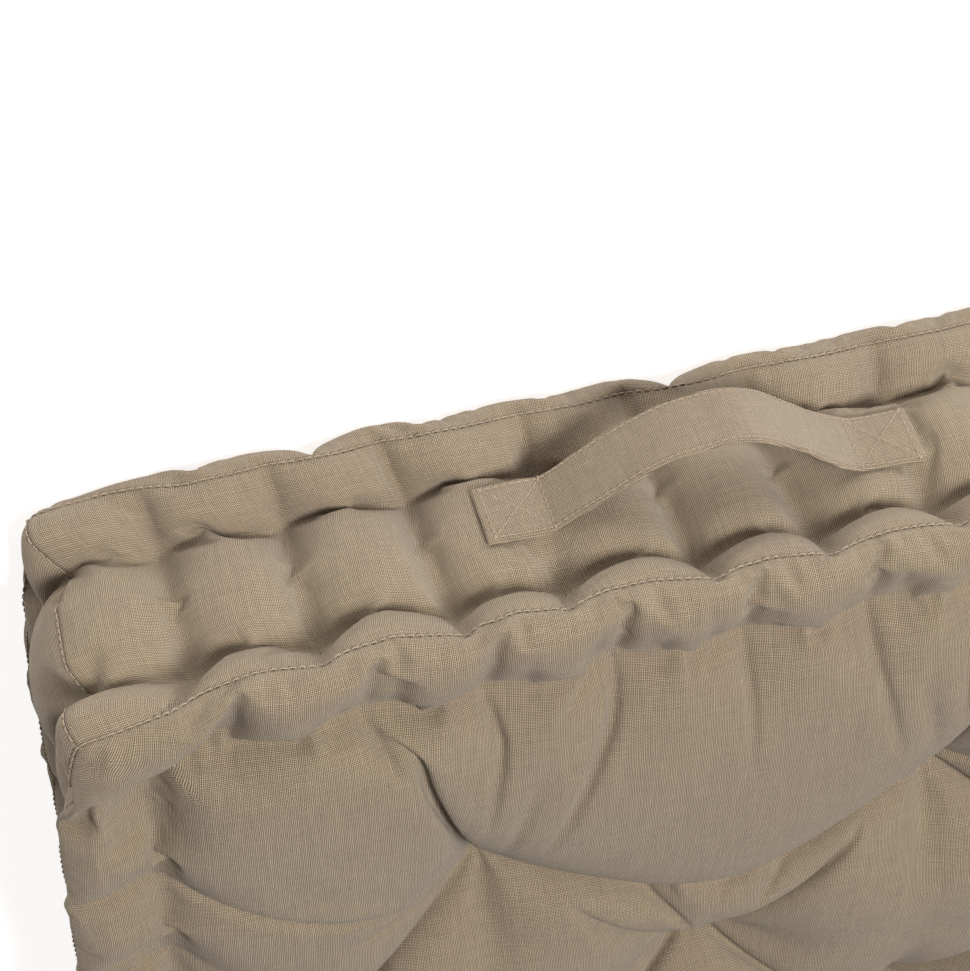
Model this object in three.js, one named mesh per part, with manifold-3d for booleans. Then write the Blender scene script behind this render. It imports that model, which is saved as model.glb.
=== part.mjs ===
// A square floor cushion in the manner of a French mattress: two tufted faces, a boxing band in
// four pieces, a hand-stitched roll round both faces, and a carry handle on the front boxing.
// Millimetres, +Z up. The cushion lies flat on z = 0 with its handle towards -Y.
import * as THREE from "three";
import { mergeVertices } from "three/addons/utils/BufferGeometryUtils.js";
import Module from "manifold-3d";

const wasm = await Module();
wasm.setup();

// Body of the cushion
const HALF = 300; // half of a side, measured over the rolls
const THICK = 148; // over both rolls
const CORNER = 18; // plan radius of a corner at its outermost line
const CORNER_TAPER = 0.18; // how fast that radius shrinks with the inset from the outside
const CORNER_STEPS = 5;
const CLOTH = 1.2; // cover thickness
const EASE = 0.3; // gap between pieces that touch

// Rolled edges
const ROLL = 20; // outer radius of a roll
const ROLL_START = 22.5; // a roll's arc begins this many degrees off the face, on the inner side
const ROLL_SWEEP = 225; // and turns this far round to the boxing
const ROLL_STEPS = 10;
const WADDING = 17.6; // radius of the wadding inside a roll
const WADDING_SIDES = 10;
const ROLL_BED = 21; // radius of the groove that the core leaves for a roll and its twine
const BED_SIDES = 14;
const TWINE = 0.8; // radius of the roll-stitching twine
const TWINE_SIDES = 5;
const TWINE_ORBIT = 18.9; // its distance from the roll's centre
const CREASE_IN = 41; // inset of the crease between a roll and the face
const CREASE_DROP = 11; // its depth below the face, and the boxing crease's inset
const PANEL_EDGE = 62; // inset where the flat of a face begins
const WALL_INSET = 3; // inset of the boxing's flat
const WALL_END = 52; // height above a face's plane where that flat begins

// Seams: each seam is a gap in the cover that its thread fills
const SEAM_DROP = 16.5; // the roll seam, below the face's plane
const SEAM_GAP = 1.6;
const THREAD = 1.0;
const SEAM_REACH = 26; // everything of the boxing lies within this inset

// Tufts
const TUFT_X = 114;
const TUFT_Y = 107;
const TUFT_DEPTH = 38;
const TUFT_SIDES = 16;
const TUFT_FLARE = [[6, 0], [14, 12], [26, 27], [40, TUFT_DEPTH]]; // [radius, height over its floor]
const OVERSHOOT = 10; // cutters run this far past the faces
const TIE = 1.2; // radius of a tie
const TIE_HOLE = 1.5;
const TIE_SIDES = 8;
const KNOT = 4.5; // radius of the knot at each end of a tie
const KNOT_HIGH = 4;
const KNOT_BEVEL = 0.75;

// Handle
const HANDLE_Z = THICK / 2 - 6; // height of the strap's middle
const STRAP_WIDTH = 34;
const STRAP_THICK = 3;
const STRAP_STEPS = 36;
const SPAN = 137; // free length between the two sewn ends
const PATCH = 34; // length of each sewn end
const REACH = 38; // how far the handle stands out past the rolls
const ARCH_FULLNESS = 1.2; // a higher power makes the arch more pointed
const SLOPE_STEP = 0.5; // the arch's slope is measured this far to each side
const ROOT_REACH = 29; // the strap swings freely outside this radius round its hinge line
const ROOT_GAP = 0.5;
const HINGE_SIDES = 24;
const STITCH = 0.8; // width of a row of stitches
const STITCH_HIGH = 0.6;
const STITCH_MARGIN = 3.5; // stitching stands this far in from an edge

const HINGE_INSET = WALL_INSET - EASE - STRAP_THICK / 2;
const ARCH = REACH + HINGE_INSET - STRAP_THICK / 2 - EASE - STITCH_HIGH;
const BIG = 3 * HALF; // long enough to cut right through the cushion
const WELD = 1e-4; // points closer than this are one point

const FABRIC = { color: 0xa8967c, roughness: 0.95, metalness: 0 };
const SEWING_THREAD = { color: 0xa08c70, roughness: 0.8, metalness: 0 };
const COTTON_WADDING = { color: 0xe6dfce, roughness: 1, metalness: 0 };
const JUTE_TWINE = { color: 0xb59a6c, roughness: 0.9, metalness: 0 };
const FIBRE_FILLING = { color: 0xded8ca, roughness: 1, metalness: 0 };

// A closed geometry as a manifold-3d solid.
function solid(geometry) {
  const bare = geometry.index ? geometry.toNonIndexed() : geometry.clone();
  bare.deleteAttribute("normal");
  bare.deleteAttribute("uv");
  const merged = mergeVertices(bare, WELD);
  const vertProperties = merged.getAttribute("position").array;
  const triVerts = new Uint32Array(merged.index.array);
  return new wasm.Manifold(new wasm.Mesh({ numProp: 3, vertProperties, triVerts }));
}

// A solid as a geometry that a mesh can hold.
function geometryOf(body) {
  const { vertProperties, triVerts } = body.getMesh();
  const geometry = new THREE.BufferGeometry();
  geometry.setAttribute("position", new THREE.BufferAttribute(vertProperties, 3));
  geometry.setIndex(new THREE.BufferAttribute(triVerts, 1));
  geometry.computeVertexNormals();
  return geometry;
}

function boxBetween(low, high) {
  const size = high.map((value, axis) => value - low[axis]);
  const box = new THREE.BoxGeometry(...size);
  return solid(box.translate(...low.map((value, axis) => value + size[axis] / 2)));
}

// Plan of the cushion at an inset: a rounded square, as the point at one of its stations.
function planPoint(inset, station) {
  const half = Math.max(HALF - inset, 0);
  const radius = Math.min(Math.max(CORNER - CORNER_TAPER * inset, 0), half);
  const quarter = Math.floor(station / (CORNER_STEPS + 1));
  const step = station % (CORNER_STEPS + 1);
  const corner = ((quarter + 0.5) * Math.PI) / 2;
  const turn = ((quarter + step / CORNER_STEPS) * Math.PI) / 2;
  const centre = (half - radius) * Math.SQRT2;
  return [
    centre * Math.cos(corner) + radius * Math.cos(turn),
    centre * Math.sin(corner) + radius * Math.sin(turn),
  ];
}

// Sweeps an outline of [inset, height] points round the plan. The outline starts and ends on
// the middle axis, or closes on itself.
function sweepRound(outline) {
  const stations = 4 * (CORNER_STEPS + 1);
  const points = outline.map(([inset, z]) => new THREE.Vector2(HALF - inset, z));
  const lathe = new THREE.LatheGeometry(points, stations);
  const position = lathe.getAttribute("position");
  const uv = lathe.getAttribute("uv");
  for (let i = 0; i < position.count; i += 1) {
    const [inset, z] = outline[i % outline.length];
    const [x, y] = planPoint(inset, Math.round(uv.getX(i) * stations) % stations);
    position.setXYZ(i, x, y, z);
  }
  return solid(lathe);
}

// Moves each inner point of an open outline to its left by a distance.
function insetOutline(outline, distance) {
  return outline.map(([d, z], i) => {
    if (i === 0 || i === outline.length - 1) {
      return [d, z + (i === 0 ? distance : -distance)];
    }
    const before = new THREE.Vector2(d - outline[i - 1][0], z - outline[i - 1][1]).normalize();
    const after = new THREE.Vector2(outline[i + 1][0] - d, outline[i + 1][1] - z).normalize();
    const along = before.clone().add(after).normalize();
    const step = distance / along.dot(before);
    return [d + along.y * step, z - along.x * step];
  });
}

// The cross-section of the cushion from the middle of its lower face round to its upper face.
function sectionOutline() {
  const lower = [[HALF, 0], [PANEL_EDGE, 0], [CREASE_IN, CREASE_DROP]];
  for (let i = 0; i <= ROLL_STEPS; i += 1) {
    const turn = THREE.MathUtils.degToRad(-ROLL_START - (ROLL_SWEEP * i) / ROLL_STEPS);
    lower.push([ROLL + ROLL * Math.cos(turn), ROLL + ROLL * Math.sin(turn)]);
  }
  lower.push([CREASE_DROP, CREASE_IN], [WALL_INSET, WALL_END]);
  const upper = lower.map(([d, z]) => [d, THICK - z]).reverse();
  return [...lower, ...upper];
}

function tuftPlaces() {
  const places = [];
  for (const row of [-1, 0, 1]) {
    const columns = row === 0 ? [-2, 0, 2] : [-1, 1];
    columns.forEach((column) => places.push([column * TUFT_X, row * TUFT_Y]));
  }
  return places;
}

// A lathe solid on a vertical axis.
function turned(outline, sides, x, y) {
  const lathe = new THREE.LatheGeometry(outline.map(([r, z]) => new THREE.Vector2(r, z)), sides);
  return solid(lathe.rotateX(Math.PI / 2).translate(x, y, 0));
}

// The hollow that one tuft pulls into the upper face, grown by the distance.
function dimple(x, y, distance) {
  const floor = THICK - TUFT_DEPTH - distance;
  const flare = TUFT_FLARE.map(([radius, height]) => [radius + distance, floor + height]);
  const rim = flare[flare.length - 1][0];
  const outline = [[0, floor], ...flare, [rim, THICK + OVERSHOOT], [0, THICK + OVERSHOOT]];
  return turned(outline, TUFT_SIDES, x, y);
}

// The cushion's outer form, drawn in all round by a distance.
function envelope(distance) {
  let form = sweepRound(insetOutline(sectionOutline(), distance));
  for (const [x, y] of tuftPlaces()) {
    const upper = dimple(x, y, distance);
    const lower = upper.mirror([0, 0, 1]).translate([0, 0, THICK]);
    form = form.subtract(upper).subtract(lower);
  }
  return form;
}

// A band of the outer cover between two heights.
function belt(low, high) {
  const outer = boxBetween([-BIG, -BIG, low], [BIG, BIG, high]);
  const inner = HALF - SEAM_REACH;
  const [under, over] = [low - OVERSHOOT, high + OVERSHOOT];
  return outer.subtract(boxBetween([-inner, -inner, under], [inner, inner, over]));
}

// Upright slabs along both diagonals, where the boxing's corner seams run.
function diagonals(width) {
  const slab = (turn) => {
    const box = new THREE.BoxGeometry(2 * BIG, width, 2 * THICK);
    return solid(box.rotateZ(turn));
  };
  return slab(Math.PI / 4).add(slab(-Math.PI / 4));
}

function tieHoles() {
  const [low, high] = [-OVERSHOOT, THICK + OVERSHOOT];
  const outline = [[0, low], [TIE_HOLE, low], [TIE_HOLE, high], [0, high]];
  return tuftPlaces().map(([x, y]) => turned(outline, TIE_SIDES, x, y));
}

// The two faces and the four boxing pieces, with the seams open between them.
function coverPieces(outside) {
  const cloth = outside.subtract(envelope(CLOTH));
  const seamLow = SEAM_DROP + SEAM_GAP / 2;
  const faceEdge = SEAM_DROP - SEAM_GAP / 2;
  const faces = cloth.subtract(belt(faceEdge, THICK - faceEdge));
  const band = cloth.intersect(belt(seamLow, THICK - seamLow)).subtract(diagonals(SEAM_GAP));
  const holes = tieHoles().reduce((all, hole) => all.add(hole));
  const pieces = {};
  faces.subtract(holes).decompose().forEach((face) => {
    const [, , low] = face.boundingBox().min;
    pieces[low < THICK / 2 ? "bottom_panel" : "top_panel"] = face;
  });
  band.decompose().forEach((side) => {
    const { min, max } = side.boundingBox();
    const [x, y] = [min[0] + max[0], min[1] + max[1]];
    const along = Math.abs(x) > Math.abs(y) ? (x < 0 ? "left" : "right") : y < 0 ? "front" : "back";
    pieces["boxing_" + along] = side;
  });
  return pieces;
}

// The threads of the roll seams and of the corner seams.
function seamThreads() {
  const middle = envelope((CLOTH - THREAD) / 2).subtract(envelope((CLOTH + THREAD) / 2));
  const height = THREAD / 2;
  const ring = (z) => middle.intersect(belt(z - height, z + height));
  const end = SEAM_DROP + SEAM_GAP / 2 + EASE;
  const corners = middle.intersect(belt(end, THICK - end)).intersect(diagonals(THREAD));
  const pieces = {
    top_seam_thread: ring(THICK - SEAM_DROP),
    bottom_seam_thread: ring(SEAM_DROP),
  };
  corners.decompose().forEach((thread, i) => {
    pieces["corner_seam_thread_" + (i + 1)] = thread;
  });
  return pieces;
}

// A closed outline of [inset, height] points round a centre.
function circleOutline(inset, z, radius, sides) {
  const outline = [];
  for (let i = 0; i <= sides; i += 1) {
    const turn = (-(i % sides) / sides) * 2 * Math.PI;
    outline.push([inset + radius * Math.cos(turn), z + radius * Math.sin(turn)]);
  }
  return outline;
}

// The wadding inside each roll.
function rollWadding() {
  const ring = (z) => sweepRound(circleOutline(ROLL, z, WADDING, WADDING_SIDES));
  return { top_roll_wadding: ring(THICK - ROLL), bottom_roll_wadding: ring(ROLL) };
}

// The twine that ties each roll off, on the side of the core.
function rollTwine() {
  const orbit = TWINE_ORBIT * Math.SQRT1_2;
  const ring = (z) => sweepRound(circleOutline(ROLL + orbit, z, TWINE, TWINE_SIDES));
  return { top_roll_twine: ring(THICK - ROLL - orbit), bottom_roll_twine: ring(ROLL + orbit) };
}

// The filling: everything inside the cover, less the rolls and the ties.
function coreFilling() {
  let core = envelope(CLOTH + EASE);
  for (const z of [ROLL, THICK - ROLL]) {
    core = core.subtract(sweepRound(circleOutline(ROLL, z, ROLL_BED, BED_SIDES)));
  }
  tieHoles().forEach((hole) => {
    core = core.subtract(hole);
  });
  return { core_filling: core };
}

// A tie goes through the whole cushion and ends in a knot at the bottom of each dimple.
function tuftTies() {
  const pieces = {};
  const low = TUFT_DEPTH - EASE;
  const foot = low - KNOT_HIGH;
  const rim = KNOT - KNOT_BEVEL;
  const half = [[0, foot], [rim, foot], [KNOT, foot + KNOT_HIGH / 2], [rim, low], [TIE, low]];
  const mirrored = half.map(([r, z]) => [r, THICK - z]).reverse();
  tuftPlaces().forEach(([x, y], i) => {
    pieces["tuft_tie_" + (i + 1)] = turned([...half, ...mirrored], TIE_SIDES, x, y);
  });
  return pieces;
}

// How far the middle of the strap stands off the hinge line at a place along it.
function archHeight(x) {
  const across = Math.min(Math.abs((2 * x) / SPAN), 1);
  return ARCH * (1 - across * across) ** ARCH_FULLNESS;
}

// A band along the strap between two distances from its middle, as a plan outline.
function strapBand(inside, outside, halfLength) {
  const edge = (distance) => {
    const points = [];
    for (let i = 0; i <= STRAP_STEPS; i += 1) {
      const x = (halfLength * (2 * i)) / STRAP_STEPS - halfLength;
      const rise = archHeight(x + SLOPE_STEP) - archHeight(x - SLOPE_STEP);
      const slope = rise / (2 * SLOPE_STEP);
      const long = Math.hypot(1, slope);
      const out = archHeight(x) + distance / long;
      points.push(new THREE.Vector2(x - (distance * slope) / long, HINGE_INSET - HALF - out));
    }
    return points;
  };
  return new THREE.Shape([...edge(outside), ...edge(inside).reverse()]);
}

function extruded(shape, low, high) {
  const geometry = new THREE.ExtrudeGeometry(shape, { depth: high - low, bevelEnabled: false });
  return solid(geometry.translate(0, 0, low));
}

// A cylinder round the line that the handle swings on.
function hingeCylinder(radius) {
  const cylinder = new THREE.CylinderGeometry(radius, radius, BIG, HINGE_SIDES);
  return solid(cylinder.rotateZ(Math.PI / 2).translate(0, HINGE_INSET - HALF, HANDLE_Z));
}

// The strap that swings, and the two ends that are sewn down and stand up as far as its roots.
function handlePieces() {
  const low = HANDLE_Z - STRAP_WIDTH / 2;
  const half = STRAP_THICK / 2;
  const whole = extruded(strapBand(-half, half, SPAN / 2 + PATCH), low, low + STRAP_WIDTH);
  const pieces = { handle_strap: whole.subtract(hingeCylinder(ROOT_REACH)) };
  whole.intersect(hingeCylinder(ROOT_REACH - ROOT_GAP)).decompose().forEach((end) => {
    const side = end.boundingBox().min[0] < 0 ? "left" : "right";
    pieces["handle_end_" + side] = end;
  });
  return pieces;
}

// A box with a cross in it, stitched through one sewn end: a plate with four openings.
function boxStitch(side) {
  const wide = PATCH / 2 - STITCH_MARGIN;
  const tall = STRAP_WIDTH / 2 - STITCH_MARGIN;
  const plate = new THREE.Shape([
    new THREE.Vector2(-wide, -tall),
    new THREE.Vector2(wide, -tall),
    new THREE.Vector2(wide, tall),
    new THREE.Vector2(-wide, tall),
  ]);
  const [inWide, inTall] = [wide - STITCH, tall - STITCH];
  for (const [u, v] of [[1, 0], [-1, 0], [0, 1], [0, -1]]) {
    const opening = [
      new THREE.Vector2(u * STITCH, v * STITCH),
      new THREE.Vector2(u * inWide + v * (inWide - STITCH), v * inTall + u * (inTall - STITCH)),
      new THREE.Vector2(u * inWide - v * (inWide - STITCH), v * inTall - u * (inTall - STITCH)),
    ];
    plate.holes.push(new THREE.Path(opening));
  }
  const geometry = new THREE.ExtrudeGeometry(plate, { depth: STITCH_HIGH, bevelEnabled: false });
  const x = side * (SPAN / 2 + PATCH / 2);
  const y = HINGE_INSET - HALF - STRAP_THICK / 2 - EASE;
  return solid(geometry.rotateX(Math.PI / 2).translate(x, y, HANDLE_Z));
}

// The rows along the strap's two edges, and the box stitches at its ends.
function handleStitching() {
  const face = STRAP_THICK / 2 + EASE;
  const line = strapBand(face, face + STITCH_HIGH, SPAN / 2);
  const offset = STRAP_WIDTH / 2 - STITCH_MARGIN;
  const row = (z) => {
    return extruded(line, z - STITCH / 2, z + STITCH / 2).subtract(hingeCylinder(ROOT_REACH));
  };
  return {
    strap_topstitch_upper: row(HANDLE_Z + offset),
    strap_topstitch_lower: row(HANDLE_Z - offset),
    handle_stitch_left: boxStitch(-1),
    handle_stitch_right: boxStitch(1),
  };
}

function addMeshes(group, pieces, finish) {
  for (const [name, body] of Object.entries(pieces)) {
    const mesh = new THREE.Mesh(geometryOf(body), new THREE.MeshStandardMaterial(finish));
    mesh.name = name;
    group.add(mesh);
  }
}

const part = new THREE.Group();
part.position.y = REACH / 2; // the origin is under the middle of the whole box
addMeshes(part, coverPieces(envelope(0)), FABRIC);
addMeshes(part, handlePieces(), FABRIC);
addMeshes(part, seamThreads(), SEWING_THREAD);
addMeshes(part, handleStitching(), SEWING_THREAD);
addMeshes(part, tuftTies(), SEWING_THREAD);
addMeshes(part, rollWadding(), COTTON_WADDING);
addMeshes(part, rollTwine(), JUTE_TWINE);
addMeshes(part, coreFilling(), FIBRE_FILLING);

export default part;
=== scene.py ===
"""A square tufted floor cushion with rolled edges and a carry strap, dressed in woven canvas.

The cover is one sheet of cloth that is filled, tied and stitched in a cloth solver, and then cut
along its seams into two faces and four boxing pieces.
"""

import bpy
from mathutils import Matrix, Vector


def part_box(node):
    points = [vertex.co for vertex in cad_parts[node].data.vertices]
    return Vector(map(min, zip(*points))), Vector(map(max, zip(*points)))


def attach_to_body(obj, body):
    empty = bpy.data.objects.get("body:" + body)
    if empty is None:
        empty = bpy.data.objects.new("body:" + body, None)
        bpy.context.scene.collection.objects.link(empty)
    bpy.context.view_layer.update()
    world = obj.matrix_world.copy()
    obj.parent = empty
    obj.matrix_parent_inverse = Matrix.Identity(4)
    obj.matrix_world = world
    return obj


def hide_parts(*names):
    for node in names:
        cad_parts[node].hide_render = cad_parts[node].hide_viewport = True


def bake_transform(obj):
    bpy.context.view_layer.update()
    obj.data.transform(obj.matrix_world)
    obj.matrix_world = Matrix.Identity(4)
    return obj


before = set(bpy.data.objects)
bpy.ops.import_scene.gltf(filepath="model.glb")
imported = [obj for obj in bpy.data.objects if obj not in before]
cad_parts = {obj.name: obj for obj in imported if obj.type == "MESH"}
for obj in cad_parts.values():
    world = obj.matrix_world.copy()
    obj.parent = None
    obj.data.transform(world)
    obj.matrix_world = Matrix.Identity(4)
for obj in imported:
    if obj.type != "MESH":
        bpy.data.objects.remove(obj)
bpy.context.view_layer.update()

import logging
import math
from dataclasses import dataclass, field
from enum import Enum

import bpy
import numpy as np
from mathutils import Matrix, Vector

LOG = logging.getLogger("floor_cushion")
MM = 0.001
SEED = 7


class Side(Enum):
    """The four sides of the cushion, anticlockwise from the one with the handle."""

    FRONT = 0
    RIGHT = 1
    BACK = 2
    LEFT = 3

    def turn(self, x: np.ndarray, y: np.ndarray) -> tuple[np.ndarray, np.ndarray]:
        """Turns places given for the front side onto this side.

        Args:
            x: Places along the front side.
            y: Places across it, negative outwards.

        Returns:
            The two plan coordinates on this side.
        """
        c, s = ((1, 0), (0, 1), (-1, 0), (0, -1))[self.value]
        return c * x - s * y, s * x + c * y


class Link(Enum):
    """The kinds of link between points of the cloth."""

    THREAD = "along a thread"
    SHEAR = "across a square"
    BEND = "over the next point"


@dataclass(frozen=True)
class CushionSizes:
    """Driving sizes of the cushion in millimetres, centred in plan over its lower face."""

    half: float
    thick: float
    shift: float
    seam_drop: float
    roll: float
    crown: float = 6.0
    lower_inset: float = 2.5
    corner: float = 7.0
    corner_run: float = 42.0
    seam_climb: float = 8.5
    crease_in: float = 41.0
    crease_drop: float = 11.0
    panel_edge: float = 62.0
    wall_inset: float = 3.0
    wall_end: float = 54.0
    tuft_x: float = 114.0
    tuft_y: float = 107.0
    tuft_depth: float = 38.0
    shoulder_in: float = 51.0
    shoulder_drop: float = 3.5
    knee_in: float = 6.5
    knee_drop: float = 46.0
    roll_from: float = 24.0
    roll_to: float = 250.0
    below_middle: float = 20.0
    cover_thick: float = 0.8

    @classmethod
    def from_frame(cls) -> "CushionSizes":
        """Reads the sizes that the frame settles.

        Returns:
            The sizes of this cushion.
        """
        low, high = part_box("boxing_back")
        bottom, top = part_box("bottom_panel")[0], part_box("top_panel")[1]
        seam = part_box("top_seam_thread")
        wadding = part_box("top_roll_wadding")
        half = (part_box("top_panel")[1][0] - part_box("top_panel")[0][0]) / 2 / MM + cls.cover_thick
        thick = (top[2] - bottom[2]) / MM
        return cls(
            half=half,
            thick=thick,
            shift=high[1] / MM - half,
            seam_drop=thick - (seam[0][2] + seam[1][2]) / 2 / MM,
            roll=thick - (wadding[0][2] + wadding[1][2]) / 2 / MM,
        )

    def tufts(self) -> list[tuple[float, float]]:
        """Gives the places of the tufts, in rows of two, three and two."""
        places = []
        for row, columns in ((-1, (-1, 1)), (0, (-2, 0, 2)), (1, (-1, 1))):
            places += [(column * self.tuft_x, row * self.tuft_y) for column in columns]
        return places

    def place(self, points: np.ndarray) -> np.ndarray:
        """Turns cushion millimetres into frame metres."""
        return (points + np.array([0.0, self.shift, 0.0])) * MM


@dataclass(frozen=True)
class Level:
    """One stage of the cloth solver, from coarse to fine."""

    columns: int
    rows: int
    steps: int
    push: float
    bend: float
    crease: float = 1.0


@dataclass(frozen=True)
class Filling:
    """How hard the filling pushes, and how much cloth each part of the cover has to spare."""

    panel_push: float = 0.85
    wall_push: float = 1.55
    roll_push: float = 1.7
    bulge_limit: float = 9.0
    panel_fullness: float = 0.085
    wall_fullness: float = 0.10
    roll_fullness: float = 0.10
    upright_loss: float = 0.6
    valley_pull: float = 1.7
    valley_width: float = 9.0
    damping: float = 0.96
    seam_width: float = 7.0
    outer_zone: float = 12.0
    roll_zone: float = 36.0
    face_zone: float = 20.0


@dataclass(frozen=True)
class EdgeStitching:
    """The hand stitching of the rolled edges, zigzag from the face to the boxing."""

    pitch: float = 57.2
    lag: float = 13.5
    face_pull: float = 6.5
    boxing_pull: float = 7.0
    corner_pull: float = 7.0
    wander: float = 3.5
    face_way: tuple = (-0.62, -0.78)
    boxing_way: tuple = (0.88, 0.47)
    uneven: tuple = (0.85, 1.15)

    def places(self, side: Side, lower: bool, on_face: bool) -> np.ndarray:
        """Gives where the stitches of one side of a roll are.

        Args:
            side: The side of the cushion.
            lower: Whether the roll is the lower one.
            on_face: Whether the stitches are on the face's side of the roll.

        Returns:
            Distances along the side from its middle.
        """
        rng = np.random.default_rng([SEED, side.value, int(lower), int(on_face)])
        numbers = np.arange(-4, 5)
        wander = rng.uniform(-1, 1, len(numbers)) * self.wander
        return numbers * self.pitch + (0.0 if on_face else self.lag) + wander


@dataclass(frozen=True)
class Pleats:
    """Creases that run from the roll stitches over the roll and across the boxing.

    Each strength is how many times the filling's push the crease draws the cloth in.
    """

    width: float = 1.9
    wall_width: float = 4.4
    on_face_flank: float = 3.2
    on_boxing_flank: float = 3.8
    on_wall: float = 2.5
    on_neck: float = 1.5
    neck_width: float = 4.5
    at_corner: float = 4.0
    side_pleats: float = 2.0
    side_count: int = 3
    side_from: float = 7.0
    side_to: float = 20.0
    side_strength: tuple = (0.5, 1.2)
    side_length: tuple = (0.4, 0.8)
    slant: float = 5.0
    splay: float = 0.25
    below: float = 0.15
    beyond: float = 1.3
    fading: tuple = (0.4, 0.28)
    corner_from: float = 46.0
    wall_bend: float = 6.0
    wall_uneven: tuple = (0.75, 1.1)
    wall_shallow: float = 0.25


def resampled(points: np.ndarray, count: int) -> tuple[np.ndarray, np.ndarray]:
    """Spaces points evenly along a line.

    Args:
        points: The corners of the line.
        count: How many points to give back.

    Returns:
        The points, and how far along the line each one is.
    """
    steps = np.hypot(*np.diff(points, axis=0).T)
    along = np.concatenate([[0], np.cumsum(steps)])
    places = np.linspace(0, along[-1], count)
    line = [np.interp(places, along, points[:, axis]) for axis in (0, 1)]
    return np.stack(line, 1), places


def squares(block: np.ndarray, flipped: bool = False) -> np.ndarray:
    """Lists the squares between neighbouring points of a block of point numbers.

    Args:
        block: The point numbers, in rows.
        flipped: Whether the squares face the other way.

    Returns:
        Four point numbers for each square.
    """
    cells = np.stack([block[:-1, :-1], block[1:, :-1], block[1:, 1:], block[:-1, 1:]], -1)
    return cells[..., [0, 3, 2, 1]] if flipped else cells


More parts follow.
